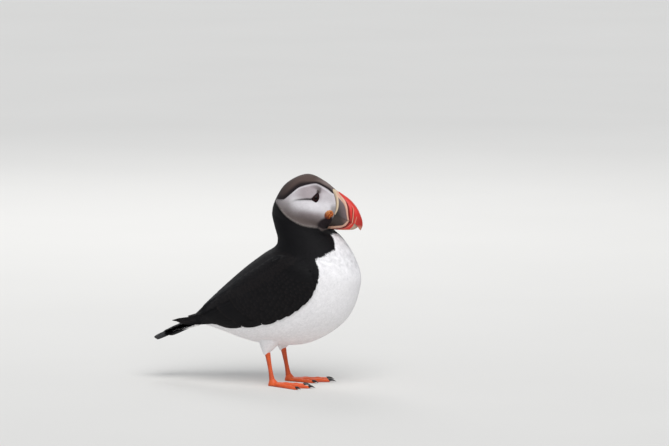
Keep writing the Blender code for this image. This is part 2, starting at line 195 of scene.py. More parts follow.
# Lines and ridges: (colour, x of its middle at each share, half width, height, first share where it shows).
UPPER_LINES = [
    ("cream", (20.0, 23.2, 25.0, 25.4, 24.8, 23.1), 1.5, 0.70, 0.0),
    ("blush", (23.2, 27.8, 32.5, 34.6, 35.4, 36.3), 1.6, 0.55, 0.0),
    ("blood", (25.0, 32.2, 35.1, 36.4, 37.0, 37.8), 0.8, -0.40, 0.25),
    ("blood", (36.0, 38.2, 39.9, 40.2, 40.0, 39.4), 0.50, -0.30, 0.3),
    ("ivory", (36.8, 38.9, 40.7, 41.0, 40.8, 40.1), 0.52, 0.20, 0.25),
    ("blood", (37.4, 39.6, 41.3, 41.6, 41.4, 40.7), 0.30, -0.22, 0.45),
    ("ivory", (44.2, 44.7, 44.4, 44.0, 43.2, 42.2), 0.30, 0.10, 0.55),
]
LOWER_FIELDS = [
    ("slate", (9.0, 13.2, 15.6, 18.0, 20.4, 22.2)),
    ("blush", (11.0, 16.5, 28.4, 32.0, 34.0, 35.3)),
    ("blood", (15.0, 26.6, 31.8, 34.1, 35.6, 36.8)),
    ("red", (22.0, 30.8, 34.4, 36.3, 37.5, 38.2)),
    ("horn", (35.0, 37.0, 38.8, 39.9, 40.6, 41.2)),
]
LOWER_LINES = [
    ("tan", (12.4, 14.4, 16.4, 18.4, 20.4, 22.0), 0.55, 0.15, 0.1),
    ("blush", (13.0, 22.0, 30.3, 33.1, 34.9, 36.1), 1.5, 0.45, 0.0),
    ("blood", (18.0, 28.4, 32.8, 35.0, 36.4, 37.5), 0.8, -0.35, 0.0),
    ("ivory", (25.0, 31.6, 35.4, 37.5, 38.9, 39.7), 0.40, 0.15, 0.1),
]


def linear(hex_colour):
    """Linear-light RGB of an sRGB colour such as '#aabbcc'."""
    value = np.array([int(hex_colour[i : i + 2], 16) for i in (1, 3, 5)]) / 255
    return np.where(value <= 0.04045, value / 12.92, ((value + 0.055) / 1.055) ** 2.4)


# ---- settings a user would change --------------------------------------------
def length(name, default, description):
    """A length property; its default is given in millimetres."""
    return FloatProperty(
        name=name, description=description, default=default * MM, min=0.0, unit="LENGTH", precision=5
    )


def count(name, default, description):
    """A whole number of things, at least one."""
    return IntProperty(name=name, description=description, default=default, min=1)


def colour(name, default, description):
    """A colour property; its default is given as sRGB."""
    return FloatVectorProperty(
        name=name, description=description, default=tuple(linear(default)), min=0, max=1, subtype="COLOR"
    )


class PuffinSizes(bpy.types.PropertyGroup):
    coat_depth_head: length("Head coat", 0.42, "How far the skin lies below the plumage of the face")
    coat_depth_body: length("Body coat", 3.2, "How far the skin lies below the plumage of the trunk")
    cheek_tufts: count("Cheek tufts", 26000, "Feather tufts on the pale face")
    cap_tufts: count("Cap tufts", 14000, "Feather tufts on the crown, nape and throat")
    neck_tufts: count("Neck tufts", 15000, "Feather tufts on the neck and collar")
    white_tufts: count("Underpart tufts", 20500, "Feather tufts on the breast, belly and flanks")
    back_vanes: count("Back vanes", 3000, "Contour feathers on the back and rump")
    eyelid_radius: length("Eyelid", 0.34, "Half thickness of the rim round the eye")


class PuffinColours(bpy.types.PropertyGroup):
    black: colour("Black", "#0f0e10", "Back, wings, tail and collar")
    feather_edge: colour("Feather edge", "#241f1e", "Worn tips of the back and wing feathers")
    cap: colour("Cap", "#5b4b46", "Grey-brown crown")
    # Its band along the cheek's border is a painted shadow line; the same colour darkens the back of the cap,
    # the lore and the furrow.
    cap_edge: colour("Cap edge", "#1f171a", "Dark line between the cap and the cheek")
    cheek: colour("Cheek", "#b0a5a8", "Face above and behind the eye")
    glow: colour("Face front", "#ebe7ea", "Palest part of the face, under the eye")
    # The grey low on the cheek is partly its own colour and partly painted shade, as the cheek turns down and
    # back from the light above; it also paints the shadow by the bill.
    cheek_grey_and_shade: colour("Dusk", "#675c59", "Grey shade low on the cheek")
    # The forehead's pale grey is partly the feathers' own colour and partly a painted highlight along the
    # profile.
    forehead: colour("Forehead", "#8d7e7a", "Pale feathers where the cap meets the bill")
    # The pale line along the bottom of the cheek is painted light, caught where its feathers curve under.
    rim: colour("Rim", "#8f8783", "Fine pale edging along the bottom of the cheek")
    white: colour("White", "#f1eff0", "Breast, belly and flanks")
    bare_skin: colour("Bare skin", "#1c080c", "Skin round the eye")
    eye_plate: colour("Eye plate", "#4f4543", "Horn above the eye")
    seam: colour("Seam", "#75645c", "Groove where the bill meets the face")
    slate: colour("Slate", "#2b2523", "Plate at the base of the bill")
    cream: colour("Cream", "#cfb99c", "Raised rim where the bill meets the face")
    tan: colour("Tan", "#98805f", "Hind edge of the lower mandible")
    blush: colour("Blush", "#d3a68f", "Ridge between the slate plate and the red")
    ivory: colour("Ivory", "#d99b7e", "Fine lines across the red")
    red: colour("Red", "#d2281b", "Front half of the bill")
    blood: colour("Blood red", "#7a170d", "Grooves of the bill")
    horn: colour("Horn", "#b39a86", "Tip of the lower mandible")
    gape: colour("Gape", "#c06409", "Fleshy corner of the mouth")
    foot: colour("Foot", "#dd5a22", "Shanks and toes")
    web: colour("Web", "#b9431a", "Skin between the toes")
    claw: colour("Claw", "#221d1c", "Claws")
    iris: colour("Iris", "#24100c", "Iris of the eye")
    floor: colour("Floor", "#dcdad6", "Studio floor")


def sizes():
    return bpy.context.scene.puffin_sizes


def tone(name):
    """A colour of the settings as an array."""
    return np.array(getattr(bpy.context.scene.puffin_colours, name))


def tone_at(name, x):
    """A colour of the settings at each place of x, which holds a number for each."""
    return np.broadcast_to(tone(name), (*x.shape, 3))


# ---- curves, surfaces and masks ----------------------------------------------
def smooth_through(rows, at):
    """A Catmull-Rom curve through rows, read at station numbers in at."""
    rows = np.asarray(rows, float)
    at = np.clip(np.asarray(at, float), 0, len(rows) - 1)
    k = np.minimum(at.astype(int), len(rows) - 2)
    t = (at - k)[..., None]
    before, here, there = rows[np.maximum(k - 1, 0)], rows[k], rows[k + 1]
    beyond = rows[np.minimum(k + 2, len(rows) - 1)]
    cubic = 3 * here - before - 3 * there + beyond
    return here + 0.5 * t * (there - before + t * (2 * before - 5 * here + 4 * there - beyond + t * cubic))


def step(value, low, high):
    """Smooth rise from 0 at low to 1 at high: 3s^2 - 2s^3 with s the clipped share of the way."""
    share = np.clip((value - low) / (high - low), 0, 1)
    return share * share * (3 - 2 * share)


def bump(value, centre, half):
    """A rounded hump of height 1 that falls to 0 a distance half from its centre."""
    return 1 - step(np.abs(value - centre), 0, half)


def mix(first, second, share):
    """Goes a share of the way from first to second; the last axis holds colours or coordinates."""
    return first + (second - first) * share[..., None]


def power(value, exponent):
    """A power of the size of a value, which keeps its sign."""
    return np.sign(value) * np.abs(value) ** exponent


def unit(vectors):
    """The same directions with length 1."""
    return vectors / np.maximum(np.linalg.norm(vectors, axis=-1, keepdims=True), 1e-12)


def turned(x, y, degrees):
    """Two coordinates after a turn by an angle."""
    turn = math.radians(degrees)
    return x * math.cos(turn) - y * math.sin(turn), x * math.sin(turn) + y * math.cos(turn)


def folded(around):
    """Angle from the line of the back, the same on both sides of the bird."""
    return np.pi - np.abs(np.pi - around % TURN)


def oval(table, at, around, squareness):
    """A loft of superellipses: back and belly points span each one, and its half width is the last column."""
    back_x, back_z, belly_x, belly_z, width = np.moveaxis(smooth_through(table, at), -1, 0)
    down = power(np.cos(around), 2 / squareness)
    out = power(np.sin(around), 2 / squareness)
    x = (back_x + belly_x) / 2 + down * (back_x - belly_x) / 2
    z = (back_z + belly_z) / 2 + down * (back_z - belly_z) / 2
    return np.stack([x, width * out, z], -1), down


def body_form(at, around):
    """The frame's trunk, neck and head."""
    table = [(*row[1], *row[2], row[3]) for row in BODY_STATIONS]
    point, down = oval(table, at, around, BODY_SQUARENESS)
    share = np.clip((at - (LAST_STATION - 1.6)) / 1.6, 0, 1) ** 2
    point[..., 0] += FACE_BULGE * share * (1 - down**2)
    return point


def normals_of(surface, at, around, small=1e-3):
    """Unit normals by central differences."""
    along = surface(at + small, around) - surface(at - small, around)
    across = surface(at, around + small) - surface(at, around - small)
    return unit(np.cross(along, across))


def wing_place(at, around):
    """Where a body point lies on the folded wing: its share from bend to tips, and from edge to edge."""
    along = WING_ON_BODY * (at - WING_FRONT) / (WING_REAR - WING_FRONT)
    middle, half = wing_span(along)
    return along, (1 - (folded(around) - middle) / np.maximum(half, 1e-6)) / 2


def wing_span(along):
    """Middle and half width of the wing as angles round the body."""
    nose = np.sqrt(np.clip(1 - (1 - np.clip(along / 0.16, 0, 1)) ** 2, 0, 1))
    taper = 1 - 0.93 * np.clip((along - 0.62) / 0.38, 0, 1) ** 1.3
    middle = WING_LINE[0] + (WING_LINE[1] - WING_LINE[0]) * np.clip(along / WING_ON_BODY, 0, 1)
    return middle, WING_HALF_SPREAD * (0.12 + 0.88 * nose) * taper


def wing_station(along):
    """Station of the body beside a share of the wing's length."""
    return WING_FRONT + (WING_REAR - WING_FRONT) * along / WING_ON_BODY


def wing_lift(along, across):
    """Height of the wing's face over the body: cambered across, and thinner towards its tips."""
    camber = np.sqrt(np.clip(4 * across * (1 - across), 0, 1))
    return WING_EDGE + (WING_THICKNESS - WING_EDGE) * camber * (1 - 0.55 * along)


def wing_form(along, across):
    """Outer face of the left wing."""
    at = wing_station(np.minimum(along, WING_ON_BODY))
    middle, half = wing_span(along)
    around = middle + half * (1 - 2 * across)
    lift = wing_lift(along, across)
    beyond = np.maximum((along - WING_ON_BODY) / (1 - WING_ON_BODY), 0)[..., None]
    point = body_form(at, around) + normals_of(body_form, at, around) * lift[..., None]
    return point + beyond * WING_TIP_REACH * WING_TIP_COURSE


def path_distance(x, z, path):
    """Distance from points to a path in side view, and the share of the path where it is nearest."""
    path = np.asarray(path, float)
    best = np.full(np.shape(x), np.inf)
    place = np.zeros(np.shape(x))
    for k, (start, end) in enumerate(zip(path, path[1:])):
        course = end - start
        share = np.clip(((x - start[0]) * course[0] + (z - start[1]) * course[1]) / (course @ course), 0, 1)
        away = np.hypot(x - start[0] - share * course[0], z - start[1] - share * course[1])
        nearer = away < best
        best = np.where(nearer, away, best)
        place = np.where(nearer, (k + share) / (len(path) - 1), place)
    return best, place


def closed_curve(points, per_span):
    """A smooth loop through points, whose last point lies on its first."""
    wrapped = [points[-1], *points, *points[:2]]
    return smooth_through(wrapped, 1 + np.arange(len(points) * per_span + 1) / per_span)


def depth_inside(x, z, outline):
    """Distance to a closed outline, positive inside it."""
    fine = closed_curve(outline, 4)
    away, _ = path_distance(x, z, fine)
    inside = np.zeros(np.shape(x), bool)
    for (x0, z0), (x1, z1) in zip(fine, fine[1:]):
        crosses = (z0 > z) != (z1 > z)
        rise = z1 - z0 if z1 != z0 else 1e-9
        inside ^= crosses & (x < x0 + (z - z0) / rise * (x1 - x0))
    return np.where(inside, away, -away)


def white_depth(at, around):
    """Roughly how far, in mm, a place lies on the white side of the border."""
    stations, angles = np.array(WHITE_EDGE, float).T
    width = np.interp(at, np.arange(LAST_STATION + 1), [row[3] for row in BODY_STATIONS])
    return (folded(around) - np.interp(at, stations, angles)) * width


def face_relief(x, z):
    """Folds of the face: the furrow behind the eye and the raised lower edge of the cheek."""
    furrow, place = path_distance(x, z, EYE_FURROW)
    inside = depth_inside(x, z, CHEEK)
    low = step(-z, -178, -168)
    folds = -1.0 * bump(furrow, 0, 1.6) * (1 - place**2)
    return folds + 0.8 * low * bump(inside, 0.9, 2.2) * (1 - step(x, 2, 8))


def body_surface(at, around):
    """The outer face of the plumage, before it is laid: the form with its folds and the folded wings."""
    inside = np.clip(at, 0.002, LAST_STATION - 0.002)
    point = body_form(inside, around)
    normal = normals_of(body_form, inside, around)
    along, across = wing_place(inside, around)
    edge = step(across, -0.04, 0.10) * (1 - step(across, 0.72, 1.10)) * step(along, -0.04, 0.10)
    wing = wing_lift(along, across) * edge * (1 - step(along, 0.70, WING_ON_BODY)) * (at < 7)
    face = np.where(at > HEAD_START, face_relief(point[..., 0], point[..., 2]), 0)
    beyond = (at - inside)[..., None] * np.array((12.0, 0, 9.0))
    point[..., 0] += FACE_OVERLAP * step(at, 13.2, 14.0) * np.abs(np.sin(around))
    return point + normal * (wing + face)[..., None] + beyond


def grid_of(first, second):
    """The first and the second coordinate of each point of a grid."""
    return np.meshgrid(first, second, indexing="ij")


def lattice(number):
    """Places spread evenly over the unit square: the additive lattice of the plastic number."""
    return (0.5 + np.arange(number)[:, None] * np.array((0.7548776662, 0.5698402910))) % 1


class Hide:
    """A surface sampled on a grid, so that points, normals and slopes are read from it all at once.

    wraps says that the second coordinate goes round; outward is -1 where the surface's own normals point in.
    """

    def __init__(self, surface, first, second, wraps=True, outward=1):
        self.first, self.second, self.wraps = first, second, wraps
        self.at, self.around = grid_of(first, second)
        self.point = surface(self.at, self.around)
        self.down = np.gradient(self.point, first, axis=0)
        self.over = np.gradient(self.point, second, axis=1)
        self.normal = outward * unit(np.cross(self.down, self.over))

    def read(self, field, u, v):
        """Bilinear reading of one of the sampled fields."""
        i = np.clip((u - self.first[0]) / (self.first[1] - self.first[0]), 0, len(self.first) - 1.001)
        j = np.clip((v - self.second[0]) / (self.second[1] - self.second[0]), 0, len(self.second) - 1.001)
        i0, j0 = i.astype(int), j.astype(int)
        s, t = (i - i0)[..., None], (j - j0)[..., None]
        near = field[i0, j0] * (1 - t) + field[i0, j0 + 1] * t
        far = field[i0 + 1, j0] * (1 - t) + field[i0 + 1, j0 + 1] * t
        return near * (1 - s) + far * s

    def scatter(self, number, density, seed):
        """Even places, more of them where density is high.

        The running totals of density times area carry a lattice from the unit square onto the surface.
        """
        area = np.linalg.norm(np.cross(self.down, self.over), axis=-1) * density
        cells = (area[1:, 1:] + area[:-1, 1:] + area[1:, :-1] + area[:-1, :-1]) / 4
        random = np.random.default_rng(seed)
        spots = (lattice(number) + random.uniform(-0.3, 0.3, (number, 2)) / math.sqrt(number)) % 1
        rows = cells.sum(1)
        row_total = np.concatenate([[0], np.cumsum(rows)]) / rows.sum()
        row = np.clip(np.searchsorted(row_total, spots[:, 0], side="right") - 1, 0, len(rows) - 1)
        in_row = (spots[:, 0] - row_total[row]) / np.maximum(row_total[row + 1] - row_total[row], 1e-12)
        run = np.cumsum(cells, axis=1) / np.maximum(rows, 1e-12)[:, None]
        flat = (run + np.arange(len(rows))[:, None]).ravel()
        cell = np.searchsorted(flat, row + np.clip(spots[:, 1], 1e-6, 1 - 1e-6))
        column = np.clip(cell - row * cells.shape[1], 0, cells.shape[1] - 1)
        before = np.where(column > 0, run[row, np.maximum(column - 1, 0)], 0)
        in_cell = np.clip((spots[:, 1] - before) / np.maximum(run[row, column] - before, 1e-12), 0, 1)
        u = self.first[0] + (row + in_row) * (self.first[1] - self.first[0])
        v = self.second[0] + (column + in_cell) * (self.second[1] - self.second[0])
        return u, v


# ---- meshes ------------------------------------------------------------------
def quads(rows, columns):
    """Corner numbers of a grid's faces."""
    i, j = grid_of(np.arange(rows - 1), np.arange(columns - 1))
    corner = i * columns + j
    return np.stack([corner, corner + 1, corner + columns + 1, corner + columns], -1).reshape(-1, 4)


def facing_out(points, faces):
    """The same lists of faces, turned round where the volume they enclose is negative.

    The volume is the sum of a . (b x c) / 6 over their triangles.
    """
    fans = np.concatenate([part[:, [0, k, k + 1]] for part in faces for k in range(1, part.shape[1] - 1)])
    a, b, c = points[fans].swapaxes(0, 1)
    if np.sum(a * np.cross(b, c)) < 0:
        return [part[:, ::-1] for part in faces]
    return faces


class Parts:
    """Arrays gathered into one mesh, in the bird's frame in mm.

    colours are linear RGB at the points; places are their positions on the unwrap kept for baking; vanes are
    their places on a feather; normals are the directions that curved faces are shaded by, nought where they
    follow the faces.
    """

    def __init__(self):
        self.points, self.colours, self.places, self.vanes, self.normals = [], [], [], [], []
        self.faces, self.total = [], 0

    def add(self, points, faces, colours, places, vanes=(0, 0), normals=(0, 0, 0)):
        """faces is a list of rows of corner numbers, or of pairs of them and whether they are shaded flat."""
        points = np.asarray(points).reshape(-1, 3)
        self.points.append(points)
        self.colours.append(np.broadcast_to(colours, points.shape).reshape(-1, 3))
        self.places.append(np.broadcast_to(np.reshape(places, (-1, 2)), (len(points), 2)))
        self.vanes.append(np.broadcast_to(np.reshape(vanes, (-1, 2)), (len(points), 2)))
        self.normals.append(np.broadcast_to(np.reshape(normals, (-1, 3)), (len(points), 3)))
        for part in faces:
            rows, flat = part if isinstance(part, tuple) else (part, False)
            self.faces.append((rows + self.total, flat))
        self.total += len(points)

    def add_closed(self, grid, colours, places=None):
        """Adds rings of points as a closed skin: joined to each other, filled at both ends, facing outwards.

        The last point of each ring lies on its first.
        """
        rows, columns = grid.shape[:2]
        colours = np.broadcast_to(colours, grid.shape)
        if places is None:
            places = np.stack(grid_of(np.linspace(0.02, 0.98, rows), np.linspace(0.02, 0.98, columns)), -1)
        ends = (0, rows - 1)
        points = np.concatenate([grid.reshape(-1, 3), [grid[end].mean(0) for end in ends]])
        shades = np.concatenate([colours.reshape(-1, 3), [colours[end].mean(0) for end in ends]])
        spots = np.concatenate([places.reshape(-1, 2), [places[end].mean(0) for end in ends]])
        ring = np.arange(columns - 1)
        first = np.stack([ring + 1, ring, np.full(columns - 1, rows * columns)], -1)
        ring = ring + (rows - 1) * columns
        last = np.stack([ring, ring + 1, np.full(columns - 1, rows * columns + 1)], -1)
        self.add(points, facing_out(points, [quads(rows, columns), first, last]), shades, spots)

    def make(self, name, finish, slot, replaces=(), weld=True):
        """A piece from what was added; weld closes seams and poles, where points lie on each other."""
        fields = (self.points, self.colours, self.places, self.vanes, self.normals)
        points, colours, places, vanes, normals = (np.concatenate(field) for field in fields)
        corners = np.concatenate([np.ravel(faces) for faces, _ in self.faces]).astype(np.int32)
        sides = np.concatenate([np.full(len(faces), np.shape(faces)[1]) for faces, _ in self.faces])
        curved = np.concatenate([np.full(len(faces), not flat) for faces, flat in self.faces])
        mesh = bpy.data.meshes.new(name)
        mesh.vertices.add(len(points))
        mesh.vertices.foreach_set("co", ((points + SHIFT) * MM).astype(np.float32).ravel())
        mesh.loops.add(len(corners))
        mesh.loops.foreach_set("vertex_index", corners)
        mesh.polygons.add(len(sides))
        mesh.polygons.foreach_set("loop_start", (np.cumsum(sides) - sides).astype(np.int32))
        mesh.polygons.foreach_set("use_smooth", curved)
        mesh.update(calc_edges=True)
        layer = mesh.color_attributes.new("marking", "FLOAT_COLOR", "POINT")
        layer.data.foreach_set("color", np.c_[colours, np.ones(len(colours))].astype(np.float32).ravel())
        layer = mesh.attributes.new("vane", "FLOAT2", "POINT")
        layer.data.foreach_set("vector", vanes.astype(np.float32).ravel())
        unwrap = mesh.uv_layers.new(name="OFBake")
        unwrap.data.foreach_set("uv", places[corners].astype(np.float32).ravel())
        if weld:
            shell = bmesh.new()
            shell.from_mesh(mesh)
            bmesh.ops.remove_doubles(shell, verts=shell.verts, dist=0.0005 * MM)
            shell.to_mesh(mesh)
            shell.free()
        mesh.validate()
        if np.any(normals) and len(mesh.loops) == len(corners):
            mesh.normals_split_custom_set(normals[corners] * np.repeat(curved, sides)[:, None])
        else:
            mesh.set_sharp_from_angle(angle=math.radians(SHARP_DEGREES))
        mesh.materials.append(finish_of(finish))
        piece = bpy.data.objects.new(name, mesh)
        bpy.context.scene.collection.objects.link(piece)
        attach(piece, "root")
        if replaces:
            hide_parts(*replaces)


# ---- feathers ----------------------------------------------------------------
VANES = {
    # share of the length, and share of the half width there; the last ring is drawn to a point
    "down": [(0, 0.6), (0.5, 1.0), (1, 0)],
    "tuft": [(0, 0.5), (0.4, 1.0), (0.82, 0.80), (1, 0)],
    "contour": [(0, 0.35), (0.35, 0.85), (0.7, 1.0), (0.88, 0.78), (0.96, 0.48), (1, 0)],
    "tail": [
        (0, 0.5), (0.25, 0.8), (0.55, 1.0), (0.8, 1.0), (0.92, 0.86), (0.97, 0.62), (0.992, 0.34), (1, 0),
    ],
    "flight": [
        (0, 0.5), (0.2, 0.8), (0.45, 1.0), (0.65, 1.0), (0.8, 0.92), (0.9, 0.76), (0.96, 0.52), (0.99, 0.28),
        (1, 0),
    ],
}
PATCH_HALF = 0.0015  # half the side of each feather's patch on the unwrap


class Vanes:
    """Laid feathers: points and shading normals of their rings, shares of the length, path on the surface."""

    def __init__(self, points, normals, shares, path):
        self.points, self.normals, self.shares, self.path = points, normals, shares, path

    def chosen(self, which):
        return Vanes(self.points[which], self.normals[which], self.shares, [way[which] for way in self.path])

    def on_side(self, sign):
        """The same feathers on the bird's left, or mirrored on its right."""
        if sign > 0:
            return self
        flip = np.array((1, -1, 1))
        return Vanes(self.points[:, :, ::-1] * flip, self.normals[:, :, ::-1] * flip, self.shares, self.path)


def blades(centre, side, lift, reach, camber, under, merge=0.7):
    """Rings of three edges, left, crest and right, and their shading normals.

    reach is half the width at each ring.  The normals go merge of the way from the blade's own to under, the
    surface's, because barbs lock a coat of feathers into one smooth sheet.
    """
    points = np.stack([centre - side * reach, centre + lift * camber * reach * 2, centre + side * reach], 2)
    own = np.stack([lift - side * 2 * camber, lift, lift + side * 2 * camber], 2)
    return points, unit(unit(own) * (1 - merge) + under[:, :, None] * merge)


def lay_feathers(
    hide, u, v, length, width, kind, depth, rise=0.0, turn=0.0, roll=0.0, camber=0.03, merge=0.7
):
    """Solid vanes that start under the surface and lie back along it.

    Each vane walks from its root against the rising first coordinate, turned by turn.  Its height above the
    surface is rise - depth (1 - t)^1.8 at share t of its length, so it leaves the skin and lies on its
    neighbours at the tip.
    """
    profile = np.array(VANES[kind])
    t, spread = profile[:, 0], profile[:, 1]
    length, width, depth, rise, turn, roll = (
        np.broadcast_to(value, u.shape)[:, None] for value in (length, width, depth, rise, turn, roll)
    )
    path_u, path_v = walk(hide, u, v, length[:, 0], turn[:, 0], t)
    normal = unit(hide.read(hide.normal, path_u, path_v))
    overrun = (path_u - np.clip(path_u, hide.first[0], hide.first[-1]))[..., None]
    centre = hide.read(hide.point, path_u, path_v) + overrun * hide.read(hide.down, path_u, path_v)
    centre = centre + normal * (rise - depth * (1 - t) ** 1.8)[..., None]
    course = np.gradient(centre, axis=1)
    side = unit(np.cross(course, normal))
    lift = unit(np.cross(side, course))
    side = side * np.cos(roll)[..., None] + lift * np.sin(roll)[..., None]
    points, normals = blades(centre, side, lift, (width / 2 * spread)[..., None], camber, normal, merge)
    return Vanes(points, normals, t, [path_u, path_v])


def walk(hide, u, v, length, turn, t):
    """Places met on the way along the surface at shares t of a length, in short steps of even size."""
    path_u, path_v = [u], [v]
    pieces = 2
    for ds in np.diff(t):
        for _ in range(pieces):
            slope_u = np.linalg.norm(hide.read(hide.down, u, v), axis=-1)
            slope_v = np.linalg.norm(hide.read(hide.over, u, v), axis=-1)
            u = u - np.cos(turn) * length * ds / pieces / np.maximum(slope_u, 0.8)
            v = v + np.sin(turn) * length * ds / pieces / np.maximum(slope_v, 0.8)
            if hide.wraps:
                v = v % TURN
        path_u.append(u)
        path_v.append(v)
    return np.stack(path_u, 1), np.stack(path_v, 1)


def vane_faces(number, rings):
    """Faces of many closed vanes: the crest's slopes as a curve, the underside and the root's end flat."""
    stride = 3 * (rings - 1) + 1
    starts = (np.arange(number) * stride)[:, None, None]
    r = np.arange(rings - 2)[:, None] * 3
    last, tip = 3 * (rings - 2), stride - 1
    slopes = np.concatenate([r + np.array([0, 1, 4, 3]), r + np.array([1, 2, 5, 4])])
    ends = np.array([[last, last + 1, tip], [last + 1, last + 2, tip]])
    under, under_ends = r + np.array([2, 0, 3, 5]), np.array([[last + 2, last, tip], [0, 2, 1]])
    return [
        ((slopes + starts).reshape(-1, 4), False),
        ((ends + starts).reshape(-1, 3), False),
        ((under + starts).reshape(-1, 4), True),
        ((under_ends + starts).reshape(-1, 3), True),
    ]


def to_point(values):
    """Draws the last ring of each vane to its crest."""
    number, _, _, size = values.shape
    return np.concatenate([values[:, :-1].reshape(number, -1, size), values[:, -1, 1:2]], axis=1)


def add_feathers(parts, laid, colours, root_u, root_v):
    """Adds laid vanes; each is a small patch at its root's place on the unwrap of its surface."""
    rings, t = laid.points, laid.shares
    number, ring_count = rings.shape[:2]
    root_u, root_v = (np.clip(root, PATCH_HALF, 1 - PATCH_HALF)[:, None, None] for root in (root_u, root_v))
    spot_u = root_u + PATCH_HALF * (2 * t[None, :, None] - 1)
    spot_v = root_v + PATCH_HALF * np.array([-1.0, 0.0, 1.0])
    places = np.stack(np.broadcast_arrays(spot_u, spot_v), -1)
    colours = colours[:, None] if colours.ndim == 2 else colours
    shades = np.broadcast_to(colours[:, :, None], rings.shape)
    crest = rings[:, :, 1]
    steps = np.linalg.norm(np.diff(crest, axis=1, prepend=crest[:, :1]), axis=-1)
    along = np.cumsum(steps, axis=1)[..., None] + 0 * t[None, :, None]
    width = np.linalg.norm(rings[:, :, 2] - rings[:, :, 0], axis=-1)[..., None]
    across = width / 2 * np.array([1.0, 0.0, 1.0])
    vanes = np.stack(np.broadcast_arrays(along, across), -1)
    shades, places, vanes, normals = (to_point(field) for field in (shades, places, vanes, laid.normals))
    parts.add(to_point(rings), vane_faces(number, ring_count), shades.reshape(-1, 3), places, vanes, normals)


def vary(colours, random, amount):
    """Each feather a little lighter or darker than its neighbours."""
    return np.clip(colours * (1 + random.normal(0, amount, (len(colours), 1))), 0, 1)


def blacks(number, random, amount):
    """The black of a number of feathers, each a little different."""
    return vary(np.broadcast_to(tone("black"), (number, 3)), random, amount)[:, None]


def worn(colours, t, amount, start=0.8):
    """Colours of each feather's rings, browner from the share start of its length to the tip."""
    return mix(colours + 0 * t[None, :, None], tone("feather_edge"), amount * step(t, start, 1.0)[None, :])


def make_by_side(name, laid, colours, u, v, finish, slot):
    """Two pieces, for the feathers rooted on the body's right and on its left, at stations u and angles v."""
    left = laid.points[:, 0, 1, 1] > 0
    for side, which in (("right", ~left), ("left", left)):
        parts = Parts()
        add_feathers(parts, laid.chosen(which), colours[which], u[which] / LAST_STATION, v[which] / TURN)
        parts.make(f"{name}_{side}", finish, slot, weld=False)


# ---- markings as colour ------------------------------------------------------
def plumage(at, around, point):
    """Colour of the plumage at places on the body."""
    x, z = point[..., 0], point[..., 2]
    colour_here = tone_at("black", x)
    along, across = wing_place(at, around)
    under_wing = (along > 0) * (along < WING_ON_BODY) * step(across, -0.01, 0.02) * (at < 7)
    colour_here = mix(colour_here, tone("white"), step(white_depth(at, around), -0.4, 0.4) * (1 - under_wing))
    head = step(at, HEAD_START - 0.4, HEAD_START)
    inside = depth_inside(x, z, CHEEK)
    above = step(z - (177.0 + 0.16 * x), -1.5, 1.5)
    fine = step(x, -12, 6)
    # The cap darkens along the cheek's border: a painted shadow line.
    cap = mix(tone_at("cap_edge", x), tone("cap"), step(-inside, 1.8 - 1.1 * fine, 6.5 - 4.2 * fine))
    cap = mix(cap, tone("cap_edge"), step(-x, 12, 40) * 0.8)
    # Paler towards the bill: partly the feathers' own grey, partly a painted highlight along the profile.
    cap = mix(cap, tone("forehead"), step(x, 0, 15) * step(-inside, 0.9, 2.6))
    crown = step(z - (183.0 + 0.10 * x), -3, 1) * step(at, 9.6, 10.2)
    colour_here = mix(colour_here, cap, crown * head * step(-inside, -0.2, 0.2))
    face = cheek_colour(x, z, inside)
    return mix(colour_here, face, step(inside, -0.25, 0.25) * head * np.clip(above + 1, 0, 1))


def cheek_colour(x, z, inside):
    """Pale face, grey low on the cheek (its own grey and painted shade), a painted shadow by the bill, a fine
    pale rim of painted light, the furrow's painted shade and the lore below the gape.
    """
    shade = mix(tone_at("cheek", x), tone("glow"), 0.6 * step(-x, 4, 18))
    under, _ = path_distance(x, z, [(-14, 178.0), (5, 176.0), (17, 174.0)])
    shade = mix(shade, tone("glow"), 1 - step(under, 2.5, 9.5))
    shade = mix(shade, tone("glow"), 0.5 * step(x, 9, 13) * step(-z, -194, -186))
    # Lower and hinder cheek grey: partly its own colour, partly painted shade of the form turned from the
    # light above.
    low = step(169.8 - 0.23 * x - z, -8.0, 9.5)
    rear = 0.45 * step(-x, 10, 22) * step(-z, -185, -177)
    shade = mix(shade, tone("cheek_grey_and_shade"), np.clip(low + rear * (1 - low), 0, 1))
    top = bump(inside, 0.9, 1.3) * step(z, 184, 190)
    shade = mix(shade, tone("glow"), 0.6 * top)
    # Painted shadow along the cheek's front edge, by the base of the bill.
    shade = mix(shade, tone("cheek_grey_and_shade"), 0.6 * step(x, 18.5, 21) * step(-z, -180, -173))
    # Painted light along the cheek's lower edge, where its feathers curve under.
    rim = bump(inside, 0.75, 1.25) * step(-z, -182, -172) * (1 - step(x, 5, 12))
    shade = mix(shade, tone("rim"), rim)
    lore = depth_inside(x, z, LORE)
    shade = mix(shade, tone("cap_edge") * 1.5, step(lore, -1.8, 0.8) * step(inside, 0.3, 1.2))
    above, place = path_distance(x, z, [(8.4, 189.8), (8.4, 192.4), (5.5, 194.6), (2.0, 195.2)])
    shade = mix(shade, tone("eye_plate"), (1 - step(above, 0.8, 2.7)) * (1 - 0.8 * place))
    furrow, place = path_distance(x, z, EYE_FURROW)
    # Painted shade of the furrow behind the eye: a soft darker band round it and a crisp dark line in the
    # crease.
    shade = mix(shade, shade * 0.62, (1 - step(furrow, 0.6, 2.2)) * (1 - place**2.0))
    return mix(shade, tone("cap_edge") * 1.2, (1 - step(furrow, 0.35, 0.95)) * (1 - place**2.6))


# ---- materials ---------------------------------------------------------------
def node(tree, kind, inputs=None, **settings):
    """Adds a shader node; inputs maps a socket's name to a value or to another node's output."""
    made = tree.nodes.new("ShaderNode" + kind)
    for key, value in settings.items():
        setattr(made, key, value)
    for key, value in (inputs or {}).items():
        if isinstance(value, bpy.types.NodeSocket):
            tree.links.new(value, made.inputs[key])
        else:
            made.inputs[key].default_value = value
    return made


